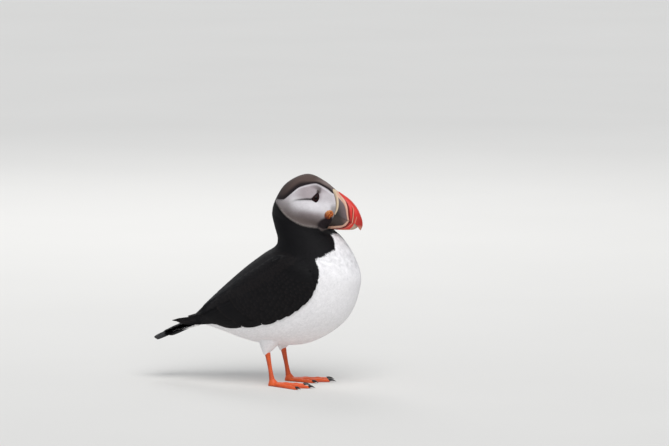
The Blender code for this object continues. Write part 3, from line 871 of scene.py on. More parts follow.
# values holds the roughness, the size of the grain in mm and the depth of its relief in mm; the rest is what
# sets a finish apart from a plain one.
FINISHES = {
    # White and grey plumage: dull and soft; its barbs are drawn twice as coarse as real ones to show at all.
    "pale_feather": dict(
        values=(0.85, 0.5, 0.008), mottle=0.03, barbs=(0.25, 1.0, 0.30, 0.005), Specular_IOR_Level=0.2,
        Sheen_Weight=0.08,
    ),
    # Black plumage: the barbs trap light, so that little gloss is left, but their lines catch some of it.
    "black_feather": dict(values=(0.6, 0.5, 0.01), barbs=(0.75, -0.65, 0.45, 0.01), Specular_IOR_Level=0.12),
    # Living skin, seen only between feathers: matt.
    "skin": dict(values=(0.7, 0.8, 0.08)),
    # Horn of the bill: layers of keratin with a worn, waxy shine, and a grain that runs up and down.
    "bill_horn": dict(
        values=(0.45, 1.1, 0.05), stretch=(1, 1, 0.35), mottle=0.08, Coat_Weight=0.08, Coat_Roughness=0.3
    ),
    # Bare scaly skin of the feet and the fleshy gape: small domed cells, with a little light from within.
    "scaly_skin": dict(
        values=(0.46, 0.7, 0.06), mottle=0.10, cells=0.9, Subsurface_Weight=0.1, Subsurface_Scale=0.001
    ),
    # Bare skin round the eye: dull and almost black, with hardly any shine to compete with the eye's.
    "lid_skin": dict(values=(0.6, 0.4, 0.03), mottle=0.1, Specular_IOR_Level=0.12),
    # Horn of the claws: harder and smoother than the bill's, with its grain along the claw.
    "claw_horn": dict(values=(0.3, 0.6, 0.03), stretch=(0.3, 1, 1), mottle=0.15, Coat_Weight=0.2),
    # The wet front of the eye: clear and smooth over a dark iris.
    "eyeball": dict(values=(0.12, 0.25, 0.0), Specular_IOR_Level=0.08),
}


def finish_of(name):
    """The material of that name, made when it is first asked for."""
    return bpy.data.materials.get(name) or make_finish(name, **FINISHES[name])


def make_finish(name, values, stretch=(1, 1, 1), mottle=0.12, barbs=None, cells=None, **shader_values):
    """A material coloured by the marking, mottled and bumped by noise of a real size.

    stretch squeezes the object coordinates that the noise reads.  barbs adds fine lines on feathers: their
    weight along and across the vane, their spacing in mm and the depth between them.  cells adds domed scales
    of that size in mm.
    """
    roughness, grain_mm, relief_mm = values
    made = bpy.data.materials.new(name)
    made.use_nodes = True
    tree = made.node_tree
    shader = tree.nodes["Principled BSDF"]
    place = node(tree, "TexCoord").outputs["Object"]
    place = node(tree, "Mapping", {"Vector": place, "Scale": stretch}).outputs["Vector"]
    specks = {"Vector": place, "Scale": 1 / (grain_mm * MM), "Detail": 3.0}
    grain = node(tree, "TexNoise", specks).outputs["Fac"]
    marking = node(tree, "Attribute", attribute_name="marking").outputs["Color"]
    blotches = {"Vector": place, "Scale": 1 / (9 * grain_mm * MM), "Detail": 2.0}
    patches = node(tree, "TexNoise", blotches).outputs["Fac"]
    limits = {"Value": patches, "From Min": 0.3, "From Max": 0.7, "To Min": 1 - mottle, "To Max": 1 + mottle}
    span = node(tree, "MapRange", limits).outputs["Result"]
    tint = node(tree, "VectorMath", {0: marking, 1: span}, operation="MULTIPLY").outputs["Vector"]
    dents = {"Height": grain, "Strength": 0.6, "Distance": relief_mm * MM}
    relief = node(tree, "Bump", dents).outputs["Normal"]
    if barbs:
        weight_along, weight_across, spacing, depth = barbs
        vane = node(tree, "Attribute", attribute_name="vane").outputs["Vector"]
        turns = (TURN * weight_along / spacing, TURN * weight_across / spacing, 0)
        phase = node(tree, "VectorMath", {0: vane, 1: turns}, operation="DOT_PRODUCT").outputs["Value"]
        line = node(tree, "Math", {0: phase}, operation="SINE").outputs["Value"]
        lines = {"Height": line, "Strength": 0.5, "Distance": depth * MM, "Normal": relief}
        relief = node(tree, "Bump", lines).outputs["Normal"]
    if cells:
        away = node(tree, "TexVoronoi", {"Vector": place, "Scale": 1 / (cells * MM)}).outputs["Distance"]
        domes = {"Height": away, "Strength": 0.35, "Distance": 0.12 * MM, "Normal": relief}
        relief = node(tree, "Bump", domes, invert=True).outputs["Normal"]
    tree.links.new(tint, shader.inputs["Base Color"])
    tree.links.new(relief, shader.inputs["Normal"])
    shader.inputs["Roughness"].default_value = roughness
    for key, value in shader_values.items():
        shader.inputs[key.replace("_", " ")].default_value = value
    return made


# ---- skin --------------------------------------------------------------------
THIGH_COAT_DEPTH = 1.2
# The skin carries the plumage's markings a little darker: painted shade of the gaps between feathers.
SKIN_SHADE = 0.9  # the skin is a little darker than the plumage over it


def coat_depth(at):
    """Depth of the coat over the skin, from the face to the trunk."""
    head, body = sizes().coat_depth_head / MM, sizes().coat_depth_body / MM
    return head + (body - head) * np.interp(at, [0, 2, 6, 9, 12, 14], [0.6, 1, 1, 0.5, 0.0, 0.0])


@cache
def body_hide():
    return Hide(body_surface, np.linspace(0, LAST_STATION, 841), np.linspace(0, TURN, 481))


@cache
def wing_hide():
    """The left wing's face; its first coordinate falls from 1 at the bend to 0 at the tips."""
    shares = np.linspace(0, 1, 241), np.linspace(0, 1, 81)
    return Hide(lambda back, across: wing_form(1 - back, across), *shares, wraps=False, outward=-1)


def limb_surface(centres, radii):
    """A tube of level ovals through centres."""
    table = np.concatenate([np.asarray(centres, float), np.asarray(radii, float)], axis=1)

    def surface(at, around):
        x, y, z, rx, ry = np.moveaxis(smooth_through(table, at), -1, 0)
        return np.stack([x + rx * np.cos(around), y + ry * np.sin(around), z], -1)

    return surface


@cache
def thigh_hide():
    """The left thigh from the ankle, where its first coordinate is 0, to the hip."""
    path = [HIP, HIP * 0.55 + ANKLE * 0.45, HIP * 0.2 + ANKLE * 0.8, ANKLE]
    surface = limb_surface(path, [(17, 12), (13, 10), (7.5, 6.2), (4.0, 3.6)])
    places = np.linspace(0, 3, 61), np.linspace(0, TURN, 49)
    return Hide(lambda at, around: surface(3 - at, around), *places, outward=-1)


class PUFFIN_OT_skin(bpy.types.Operator):
    """Adds one skin for head, neck, trunk, wings and thighs, inside the plumage by its depth"""

    bl_idname = "puffin.skin"
    bl_label = "Skin"

    def execute(self, context):
        hide = body_hide()
        # The rings lie closer together over the face.
        rows = [np.linspace(0, HEAD_START, 150, endpoint=False), np.linspace(HEAD_START, LAST_STATION, 150)]
        at, around = grid_of(np.concatenate(rows), np.linspace(0, TURN, 177))
        point = hide.read(hide.point, at, around)
        normal = unit(hide.read(hide.normal, at, around))
        colours = plumage(at, around, point) * SKIN_SHADE
        point = point - normal * coat_depth(at)[..., None]
        point[:, -1] = point[:, 0]
        parts = Parts()
        parts.add_closed(point, colours, np.stack([at / LAST_STATION, around / TURN], -1))
        hide = thigh_hide()
        point = hide.point - hide.normal * THIGH_COAT_DEPTH
        point[:, -1] = point[:, 0]
        places = np.stack([0.3 + hide.at / 60, hide.around / TURN], -1)
        for sign in SIDES.values():
            parts.add_closed(point * (1, sign, 1), tone("white") * SKIN_SHADE, places)
        limbs = [f"{part}_{side}" for part in ("wing", "thigh") for side in SIDES]
        parts.make("skin", "skin", "face_plumage", ["head", "neck", "trunk", *limbs])
        return {"FINISHED"}


# ---- plumage -----------------------------------------------------------------
def bare(point):
    """True where the eye, its plates and the rosette leave no room for feathers."""
    x, z = point[..., 0] - EYE_AT[0], point[..., 2] - EYE_AT[1]
    eye = np.maximum(depth_inside(x, z, EYELID) + 0.25, depth_inside(x, z, UPPER_PLATE) - 0.1)
    x, z = point[..., 0] - ROSETTE_AT[0], point[..., 2] - ROSETTE_AT[1]
    along, across = turned(x, z, -ROSETTE_TURN_DEGREES)
    rosette = (along / (ROSETTE_RADII[0] * 0.85)) ** 2 + (across / ROSETTE_RADII[1]) ** 2
    return (eye > 0) | (rosette < 0.55)


def clear_share(hide, u, v, length, turn):
    """Share of each tuft's length that lies clear of the bare places."""
    shares = np.linspace(0, 1, 9)
    path_u, path_v = walk(hide, u, v, length, turn, shares)
    blocked = bare(hide.read(hide.point, path_u, path_v)) & (u > HEAD_START)[:, None]
    return np.where(blocked.any(1), shares[blocked.argmax(1)], 1.0)


def border_scale(at, point):
    """Size of the feathers near the border of the pale cheek, where they are cut short to draw it finely."""
    inside = depth_inside(point[..., 0], point[..., 2], CHEEK)
    return np.where(at > HEAD_START, 0.55 + 0.45 * step(np.abs(inside - 0.5), 0.8, 3.0), 1.0)


# Feathers whose number isn't a setting.
CHIN_TUFTS, THIGH_TUFTS, SCAPULARS, TAIL_FEATHERS, TAIL_COVERTS = 1400, 2200, 260, 16, 520
# Lengths and widths of body feathers at each station, tail to bill.
FEATHER_LENGTH = [9, 11, 12, 12, 12, 11.5, 10, 8.0, 6.5, 5.2, 4.2, 3.6, 2.9, 2.3, 1.8]
FEATHER_WIDTH = [4, 5, 5.5, 6, 6, 5.5, 4.6, 3.4, 2.6, 1.9, 1.5, 1.25, 1.05, 0.9, 0.75]


def coat(number, region, slimness, kind, seed, camber=0.04, tilt=0.08, rise=0.0, ragged=0.08, merge=0.75):
    """Scatters tufts over the part of the body where region is 1.

    slimness scales their width, ragged their unevenness in height, and tilt their spread in direction.  Each
    ring of a tuft has the marking of the place where it lies, shifted a little from tuft to tuft.
    """
    hide = body_hide()
    stations = np.arange(LAST_STATION + 1)
    length, width = FEATHER_LENGTH, np.array(FEATHER_WIDTH) * slimness
    random = np.random.default_rng(seed)
    size_here = np.interp(hide.at, stations, length) * np.interp(hide.at, stations, width)
    size_here = size_here * border_scale(hide.at, hide.point) ** 1.5
    steep = np.linalg.norm(hide.down, axis=-1) > 0.3
    u, v = hide.scatter(number, region(hide.at, hide.around, hide.point) * steep / size_here, seed)
    scale = border_scale(u, hide.read(hide.point, u, v))
    reach = np.interp(u, stations, length) * random.uniform(0.85, 1.15, number) * scale
    wide = np.interp(u, stations, width) * random.uniform(0.85, 1.15, number) * scale**0.5
    lift, turn = rise + random.uniform(-ragged, ragged / 3, number), random.normal(0, tilt, number)
    clear = clear_share(hide, u, v, reach, turn)
    kept = clear > 0
    clear = np.minimum(1, clear + 0.45 / reach)
    u, v, reach, wide, lift, turn, clear = (
        field[kept] for field in (u, v, clear * reach, wide * np.sqrt(clear), lift, turn, clear)
    )
    number = len(u)
    laid = lay_feathers(
        hide, u, v, reach, wide, kind, (coat_depth(u) + rise) * clear, rise=lift, turn=turn,
        roll=random.normal(0, 0.03, number), camber=camber, merge=merge,
    )
    path_u, path_v = laid.path
    slip = random.normal(0, 0.05, (number, 1)) * reach[:, None]
    slope = np.linalg.norm(hide.read(hide.down, path_u, path_v), axis=-1)
    shown_u = np.clip(path_u + slip / np.maximum(slope, 0.8), 0, LAST_STATION)
    colours = plumage(shown_u, path_v, hide.read(hide.point, shown_u, path_v))
    colours = np.clip(colours * (1 + random.normal(0, 0.03, (number, 1, 1))), 0, 1)
    return laid, colours, u, v


class PUFFIN_OT_head_coat(bpy.types.Operator):
    """Adds the short, dense feathers of the cap and cheeks"""

    bl_idname = "puffin.head_coat"
    bl_label = "Head plumage"

    def execute(self, context):
        self.add("cheek_coat", sizes().cheek_tufts, True, 0.62, 11)
        self.add("cap_coat", sizes().cap_tufts, False, 0.72, 16)
        self.add_chin()
        return {"FINISHED"}

    def add(self, name, number, pale, slimness, seed):
        """Tufts on one side of the cheek's border: within it if pale."""

        def region(at, around, point):
            within = depth_inside(point[..., 0], point[..., 2], CHEEK) > -0.8
            return (at > HEAD_START) * (at < LAST_STATION - 0.01) * (within == pale)

        laid, colours, u, v = coat(
            number, region, slimness, "down", seed, camber=0.03, tilt=0.06, ragged=0.015, merge=0.9
        )
        make_by_side(name, laid, colours, u, v, "pale_feather", "face_plumage")

    def add_chin(self):
        """Tufts under the bill, where the body's stations crowd together: each lies straight back."""
        hide = body_hide()
        random = np.random.default_rng(17)
        crowded = np.linalg.norm(hide.down, axis=-1) < 1.0
        u, v = hide.scatter(CHIN_TUFTS, crowded & (hide.at > 10.5) & (hide.at < LAST_STATION - 0.01), 17)
        point, normal = hide.read(hide.point, u, v), unit(hide.read(hide.normal, u, v))
        course = np.array((-1.0, 0.0, -0.15))
        course = unit(course - normal * (normal @ course)[:, None])[:, None]
        t, spread = np.array(VANES["down"]).T
        reach = random.uniform(1.5, 2.1, (len(u), 1, 1)) * t[:, None]
        lift = normal[:, None] + 0 * reach
        centre = point[:, None] + course * reach + lift * (0.1 - 0.5 * (1 - t[:, None]) ** 1.8)
        side = unit(np.cross(course, lift))
        points, normals = blades(centre, side, lift, (0.45 * spread)[:, None], 0.04, lift, 0.85)
        colours = plumage(u[:, None] + 0 * t, v[:, None] + 0 * t, centre)
        laid = Vanes(points, normals, t, [])
        make_by_side("chin_coat", laid, colours, u, v, "pale_feather", "face_plumage")


class PUFFIN_OT_body_coat(bpy.types.Operator):
    """Adds the collar, the white underparts, the thighs and the black back"""

    bl_idname = "puffin.body_coat"
    bl_label = "Body plumage"

    def execute(self, context):
        self.add_neck()
        self.add_underparts()
        self.add_thighs()
        self.add_back()
        self.add_scapulars()
        return {"FINISHED"}

    def add_neck(self):
        def region(at, around, point):
            along, across = wing_place(at, around)
            shoulder = (along > 0.12) * (across > 0.05) * (across < 0.8)
            wing_front = (along > 0) * (along < 0.13) * (across > 0) * (across < 0.9)
            covered = (at > 6.3) * (1 - shoulder) * ((at > 6.6) | (white_depth(at, around) < 0)) + wing_front
            return (at < HEAD_START + 0.3) * np.clip(covered, 0, 1)

        laid, colours, u, v = coat(sizes().neck_tufts, region, 0.62, "tuft", 12)
        make_by_side("neck_coat", laid, colours, u, v, "black_feather", "black_plumage")

    def add_underparts(self):
        def region(at, around, point):
            along, across = wing_place(at, around)
            wing = (along > 0.02) * (along < 0.78) * (across > 0.0)
            return (at < 7.0) * step(white_depth(at, around), -2.5, -1.0) * (1 - wing)

        laid, colours, u, v = coat(
            sizes().white_tufts, region, 0.6, "tuft", 13, camber=0.03, tilt=0.06, ragged=0.03, merge=0.9
        )
        make_by_side("underparts_coat", laid, colours, u, v, "pale_feather", "white_plumage")

    def add_thighs(self):
        """Soft tufts down to the ankle, the last of them hanging over the top of the shank."""
        hide = thigh_hide()
        random = np.random.default_rng(14)
        u, v = hide.scatter(THIGH_TUFTS, np.ones_like(hide.at), 14)
        length_here = np.interp(u, [0, 1, 3], [4.5, 6.0, 8.0])
        laid = lay_feathers(
            hide, u, v, length_here, length_here * 0.28, "tuft", 1.3, rise=random.uniform(-0.1, 0.2, len(u)),
            turn=random.normal(0, 0.12, len(u)), camber=0.05, merge=0.65,
        )
        shade = vary(tone_at("white", u), random, 0.035)
        for side, sign in SIDES.items():
            parts = Parts()
            add_feathers(parts, laid.on_side(sign), shade, 0.2 + u / 40, v / TURN)
            parts.make(f"thigh_coat_{side}", "pale_feather", "white_plumage", weld=False)

    def add_back(self):
        def region(at, around, point):
            along, across = wing_place(at, around)
            open_back = (across > 0.62) | (along > 0.78) | ((along < 0.0) & (folded(around) < 1.3))
            return (at < 6.9) * (white_depth(at, around) < -1.5) * open_back

        laid, colours, u, v = coat(
            sizes().back_vanes, region, 0.9, "contour", 15, camber=0.035, rise=0.3, tilt=0.05, ragged=0.06
        )
        parts = Parts()
        add_feathers(parts, laid, worn(colours, laid.shares, 0.5), u / LAST_STATION, v / TURN)
        parts.make("back_coat", "black_feather", "black_plumage", weld=False)

    def add_scapulars(self):
        """Shoulder feathers rooted above each folded wing, which lie back and down over its upper edge."""
        hide = body_hide()
        random = np.random.default_rng(18)
        along, far = lattice(SCAPULARS).T
        along = 0.04 + 0.62 * along
        middle, half = wing_span(along)
        u, v = wing_station(along), middle - half * (0.98 + 0.56 * far)
        rise = 1.35 - 0.85 * far + random.uniform(-0.08, 0.08, SCAPULARS)
        reach = random.uniform(10, 13, SCAPULARS) * np.interp(along, [0, 0.2], [0.65, 1.0])
        turn = random.normal(0.16, 0.04, SCAPULARS)
        laid = lay_feathers(hide, u, v, reach, 5.2, "contour", 2.4, rise=rise, turn=turn, camber=0.04)
        tips = worn(blacks(SCAPULARS, random, 0.08), laid.shares, 0.5)
        parts = Parts()
        for sign in SIDES.values():
            add_feathers(parts, laid.on_side(sign), tips, u / LAST_STATION, v / TURN)
        parts.make("scapulars", "black_feather", "black_plumage", weld=False)


# ---- wings and tail ----------------------------------------------------------
# Rows of wing feathers from the lowest to the uppermost: name, share along the wing at the roots, first and
# last share across it, number, length, width, rise of the first and last.
WING_ROWS = [
    ("secondaries", 0.45, (0.04, 0.92), 16, 37.0, 8.6, (-1.1, -0.5)),
    ("tertials", 0.44, (0.68, 0.93), 6, 44.0, 9.5, (-0.3, 0.0)),
    ("greater_coverts", 0.385, (0.03, 0.92), 17, 24.0, 7.6, (-0.6, -0.1)),
    ("median_coverts", 0.33, (0.03, 0.92), 19, 16.0, 6.4, (-0.3, 0.1)),
]
PRIMARY_TIPS = (1.0, 0.965, 0.925, 0.88, 0.83, 0.78, 0.73)  # share along the wing, the outermost first
LESSER_ROWS = np.arange(0.335, 0.05, -0.020)  # share along the wing of each row of lesser coverts
LESSER_WIDTH = 3.1  # mm from one lesser covert to the next across the wing
BODY_HALF_WIDTH = 44  # mm, which turns the wing's angles round the body into widths


class PUFFIN_OT_wings(bpy.types.Operator):
    """Adds the folded wings: small coverts over rows of long feathers, and the primaries' tips"""

    bl_idname = "puffin.wings"
    bl_label = "Wings"

    def execute(self, context):
        for side, sign in SIDES.items():
            parts = Parts()
            self.add_primaries(parts, sign)
            for row in WING_ROWS:
                self.add_row(parts, sign, *row[1:])
            self.add_lesser_coverts(parts, sign)
            parts.make(f"wing_feathers_{side}", "black_feather", "black_plumage", weld=False)
        return {"FINISHED"}

    def put(self, parts, sign, laid, u, v, random):
        tips = worn(blacks(len(u), random, 0.10), laid.shares, 0.55)
        add_feathers(parts, laid.on_side(sign), tips, u, v)

    def add_primaries(self, parts, sign):
        """Long stiff feathers from the wrist's end; the outermost lies lowest and reaches furthest."""
        hide = wing_hide()
        random = np.random.default_rng(21)
        tips = np.array(PRIMARY_TIPS)
        share = np.linspace(0, 1, len(tips))
        roots = 0.50
        u, v = np.full(len(tips), 1 - roots), 0.10 + 0.62 * share
        slope = np.linalg.norm(hide.read(hide.down, u * 0.5, v), axis=-1)
        rise = -1.5 + 0.9 * share
        laid = lay_feathers(
            hide, u, v, (tips - roots) * slope, 8.6, "flight", 0.6, rise=rise, roll=0.04, merge=0.5
        )
        self.put(parts, sign, laid, u, v, random)

    def add_row(self, parts, sign, along, ends, number, reach, wide, rises):
        """One row across the wing; each feather laps over the one below it."""
        hide = wing_hide()
        random = np.random.default_rng(int(along * 1000))
        share = np.linspace(0, 1, number)
        v = ends[0] + (ends[1] - ends[0]) * share
        bow = 0.05 * np.sin(np.pi * v)
        u = 1 - along - bow + 0.004 * random.uniform(-1, 1, number)
        laid = lay_feathers(
            hide, u, v, reach * random.uniform(0.97, 1.03, number), wide, "flight", 1.2,
            rise=rises[0] + (rises[1] - rises[0]) * share, turn=0.02, roll=0.07, merge=0.6,
        )
        self.put(parts, sign, laid, u, v, random)

    def add_lesser_coverts(self, parts, sign):
        """Rows of small scale-like feathers over the fore wing, each row set half a feather off the last."""
        hide = wing_hide()
        random = np.random.default_rng(22)
        u, v = [], []
        for k, along in enumerate(LESSER_ROWS):
            _, half = wing_span(max(along, 0.02))
            number = max(5, int(2 * half * BODY_HALF_WIDTH / LESSER_WIDTH))
            places = (np.arange(number) + 0.5 * (k % 2)) / (number - 0.5)
            v.append(places)
            u.append(1 - along - 0.05 * np.sin(np.pi * places))
        u, v = np.concatenate(u), np.clip(np.concatenate(v), 0.02, 1) * 0.93
        u = np.minimum(u + 0.004 * random.uniform(-1, 1, len(u)), 1.0)
        length_here = np.interp(1 - u, [0, 0.35], [6.5, 11.0]) * random.uniform(0.93, 1.07, len(u))
        laid = lay_feathers(
            hide, u, v, length_here, np.interp(1 - u, [0, 0.35], [3.8, 5.4]), "contour", 1.2,
            rise=0.2 + random.uniform(-0.05, 0.05, len(u)), turn=random.normal(0, 0.05, len(u)), roll=0.04,
        )
        self.put(parts, sign, laid, u, v, random)


def tail_surface(at, around):
    table = [(*back, *belly, width) for back, belly, width in TAIL_STATIONS]
    return oval(table, at, around, 2.6)[0]


class PUFFIN_OT_tail(bpy.types.Operator):
    """Adds the short black tail: sixteen rounded feathers, and the coverts over and under their roots"""

    bl_idname = "puffin.tail"
    bl_label = "Tail"

    def execute(self, context):
        parts = Parts()
        random = np.random.default_rng(31)
        for rank in np.linspace(-1, 1, TAIL_FEATHERS):
            self.add_feather(parts, rank, random)
        self.add_coverts(parts, random)
        parts.make("tail_feathers", "black_feather", "black_plumage", ["tail"], weld=False)
        return {"FINISHED"}

    def add_feather(self, parts, rank, random):
        """One tail feather from the rump, fanned by its rank; the middle pair lies uppermost."""
        profile = np.array(VANES["tail"])
        t, spread = profile[:, 0], profile[:, 1]
        root = np.array((-119.0, 6.0 * rank, 60.0 - 3.0 * rank**2))
        tip = np.array((-169.6 + 8.0 * abs(rank) ** 2.2, 15.5 * rank, 40.2 - 0.9 * rank**2))
        centre = root + (tip - root) * t[:, None]
        centre[:, 2] += 1.4 * np.sin(np.pi * t) - 1.6 * abs(rank) * t * (1 - t)
        course = unit(np.gradient(centre, axis=0))
        side = unit(np.cross(course, (0, 0.30 * rank, 1.0)))
        lift = unit(np.cross(side, course))
        reach = (4.6 * spread)[:, None]
        points, normals = blades(centre[None], side[None], lift[None], reach[None], 0.08, lift[None])
        shade = worn(blacks(1, random, 0.08), t, 0.4, 0.9)
        laid = Vanes(points, normals, t, [])
        add_feathers(parts, laid, shade, np.array([0.9]), np.array([0.5 + 0.4 * rank]))

    def add_coverts(self, parts, random):
        """Black feathers over the roots of the tail, white ones under it."""
        places = np.linspace(1.2, 5, 61), np.linspace(0, TURN, 61)
        hide = Hide(lambda at, around: tail_surface(5 - at, around), *places)
        from_belly = np.abs(np.pi - hide.around)
        rooted = (hide.at > 3.2) * ((from_belly < 0.65) | (from_belly > np.pi - 1.0))
        u, v = hide.scatter(TAIL_COVERTS, rooted, 33)
        below = np.abs(np.pi - v) < 1.0
        aside = np.abs(hide.read(hide.point, u, v)[:, 1]) / TAIL_HALF_WIDTH
        reach = random.uniform(9, 16, TAIL_COVERTS) * (1 - 0.35 * aside - 0.35 * below)
        rise = random.uniform(-0.2, 0.1, TAIL_COVERTS) + 0.9 * ~below * (1 - aside**2)
        turn = random.normal(0, 0.05, TAIL_COVERTS) * ~below
        laid = lay_feathers(hide, u, v, reach, 4.2, "contour", 1.5, rise=rise, turn=turn)
        shade = np.where(below[:, None], tone("white"), tone("black"))
        add_feathers(parts, laid, vary(shade, random, 0.05), u / 5, v / TURN)


# ---- bill --------------------------------------------------------------------
def mandible(stations, keel_down, rows, columns):
    """Skin of one mandible: its points, and their share of the way from the keel or culmen to the mouth.

    Each ring is bowed forward by 4 bow s (1 - s) at share s from its upper to its lower end, and its half
    width is width (1 - (1 - share)^2.4)^0.55.
    """
    table = [(*row[1], *row[2], row[3], row[4]) for row in stations]
    at = np.linspace(0, len(stations) - 1, rows)
    upper_x, upper_z, lower_x, lower_z, width, bow = smooth_through(table, at).T[..., None]
    if keel_down:
        mouth = smooth_through([row[2] for row in UPPER_BILL], np.linspace(0, len(UPPER_BILL) - 1, 200))
        upper_z = np.interp(upper_x, *mouth.T)
    share = np.linspace(0, 1, columns)[None, :] ** 1.3
    from_top = 1 - share if keel_down else share
    x = upper_x + (lower_x - upper_x) * from_top + bow * 4 * from_top * (1 - from_top)
    z = upper_z + (lower_z - upper_z) * from_top
    half = width * (1 - (1 - share) ** 2.4) ** 0.55
    drop = -MOUTH_GAP / 2 if keel_down else MOUTH_GAP / 2
    point = np.stack([x + GAP, half, z + drop * share], -1)
    return point, np.broadcast_to(share, x.shape)


def edge_of(places, share):
    """X of an edge at a share of the way from the keel to the mouth, on a smooth curve through its places."""
    return smooth_through(np.array(places, float)[:, None], share * (len(places) - 1))[..., 0]


class PUFFIN_OT_bill(bpy.types.Operator):
    """Adds the banded bill: a cream rim, a slate plate, a pale ridge, and red crossed by grooves"""

    bl_idname = "puffin.bill"
    bl_label = "Bill"

    def execute(self, context):
        self.make("bill_upper_horn", UPPER_BILL, UPPER_FIELDS, UPPER_LINES, False, "bill_upper")
        self.make("bill_lower_horn", LOWER_BILL, LOWER_FIELDS, LOWER_LINES, True, "bill_lower")
        return {"FINISHED"}

    def make(self, name, stations, fields, lines, keel_down, node_name):
        point, share = mandible(stations, keel_down, 270, 84)
        height, shade = self.paint(point, share, fields, lines, keel_down)
        normal = unit(np.cross(np.gradient(point, axis=0), np.gradient(point, axis=1)))
        normal = normal * np.sign(normal[..., 1:2] + 1e-9)
        normal[:, 0, 1] = 0
        side = (0.25 + 0.75 * step(share, 0.0, 0.15)) * (1 - step(share, 0.975, 1.0))
        point = point + normal * (height * side)[..., None]
        ring = np.concatenate([point, point[:, ::-1] * (1, -1, 1)], axis=1)
        parts = Parts()
        parts.add_closed(ring, np.concatenate([shade, shade[:, ::-1]], axis=1))
        parts.make(name, "bill_horn", "red_bill", [node_name])

    def paint(self, point, share, fields, lines, keel_down):
        """Relief in mm and colour of each point: fields from the face to the tip, then ridges and grooves."""
        x, z = point[..., 0], point[..., 2]
        shade = tone_at("seam", x)
        height = np.zeros(x.shape)
        for name, places in fields:
            colour_here = self.slate(x, z, keel_down) if name == "slate" else tone(name)
            soft = {"red": 0.8, "blush": 0.4}.get(name, 0.25)
            shade = mix(shade, colour_here, step(x - edge_of(places, share), -soft, soft))
        for name, places, half, rise, first in lines:
            away = np.abs(x - edge_of(places, share))
            shown = step(share, first - 0.06, first + 0.12) if first else 1.0
            height = height + rise * bump(away, 0, half) * shown
            if name in ("ivory", "blood", "tan"):
                shade = mix(shade, tone(name), (1 - step(away, 0.3 * half, 1.1 * half)) * shown * 0.85)
        # Growth lines run beside the ridges, at uneven spacings.
        growth = x - edge_of(fields[-1][1] if keel_down else fields[4][1], share)
        line = np.sin(5.1 * growth + 1.7 * np.sin(1.3 * growth))
        line = line + 0.6 * np.sin(11.7 * growth + 2 * np.sin(2.1 * growth))
        line = line * step(share, 0.03, 0.3)
        height = height + 0.03 * line
        shade = np.clip(shade * (1 + 0.05 * line * step(x, 20, 26))[..., None], 0, 1)
        return height, self.weather(x, z, share, shade, keel_down)

    def slate(self, x, z, keel_down):
        """The dark plate, with painted light making it paler and mauve-grey towards the crown and the ridge,
        and browner on the lower mandible.
        """
        # Painted light: the plate paler towards its top and the ridge.
        painted_light_share = step(x + 0.35 * (z - 170), 24.5, 33.5)
        plate = mix(tone_at("slate", x), tone("slate") * (6.0, 5.6, 6.4), painted_light_share)
        return plate * (1.5, 1.25, 1.1) if keel_down else plate

    def weather(self, x, z, share, shade, keel_down):
        """The lower keel's paler edge, a painted highlight along the upper culmen, and the duller red and
        worn horn of the tip.
        """
        shade = shade * (1 - 0.35 * step(x, 40, 46) * step(-z, -172, -160))[..., None]
        if keel_down:
            keel = (1 - step(share, 0.03, 0.16)) * step(x, 24, 28)
            return mix(shade, tone("tan") * (1.5, 1.1, 0.6), 0.7 * keel)
        # Painted highlight along the culmen of the upper mandible.
        painted_culmen_highlight = (1 - step(share, 0.01, 0.06)) * step(x, 27, 30)
        shade = mix(shade, tone("blush"), 0.22 * painted_culmen_highlight)
        return mix(shade, tone("horn") * (1.1, 0.75, 0.7), 0.75 * step(-z, -158.5, -155.0) * step(x, 42, 44))


# ---- eyes and gape -----------------------------------------------------------
# Outlines about the eye's centre, forward and up in mm: the open eye, and the plates of horn beside it.
EYELID = [(1.2, 5.3), (2.8, 1.8), (2.4, -1.5), (0.9, -3.4), (-1.0, -3.3), (-3.6, -1.0), (-1.9, 1.8)]
UPPER_PLATE = [(1.9, 4.8), (2.1, 6.4), (1.6, 7.9), (0.4, 9.2), (0.4, 8.2), (0.8, 6.8), (0.9, 5.4)]
LOWER_PLATE = [
    (-4.6, -0.9), (-3.0, -3.0), (-0.6, -4.3), (1.2, -4.1), (2.5, -2.4), (1.0, -3.1), (-1.0, -3.1),
    (-3.4, -1.4),
]
LID_FOLD = [(-4.2, -0.1), (-2.7, 2.2), (-1.0, 4.6), (-0.7, 6.6)]
PUPIL_EDGE, IRIS_EDGE = (1.4, 1.8), (2.4, 2.9)  # mm from the eye's middle, between which each one fades


def ball_rays(rows, columns):
    """Unit vectors all over a ball, ring by ring from +Z, and their angles from it."""
    lean, around = grid_of(np.linspace(0, np.pi, rows), np.linspace(0, TURN, columns + 1))
    return np.stack([np.sin(lean) * np.cos(around), np.sin(lean) * np.sin(around), np.cos(lean)], -1), lean


def face_frame(spot):
    """A point of the left cheek at spot in side view, and the directions forward, up and outward there."""
    hide = body_hide()
    head = (hide.at > 11) & (hide.around < np.pi)
    miss = np.hypot(hide.point[..., 0] - spot[0], hide.point[..., 2] - spot[1]) + 1e3 * ~head
    place = np.unravel_index(miss.argmin(), miss.shape)
    out = unit(hide.normal[place])
    forward = unit(np.array((1.0, 0, 0)) - out[0] * out)
    up = np.cross(forward, out)
    up = up * np.sign(up[2])
    return hide.point[place], forward, up, out


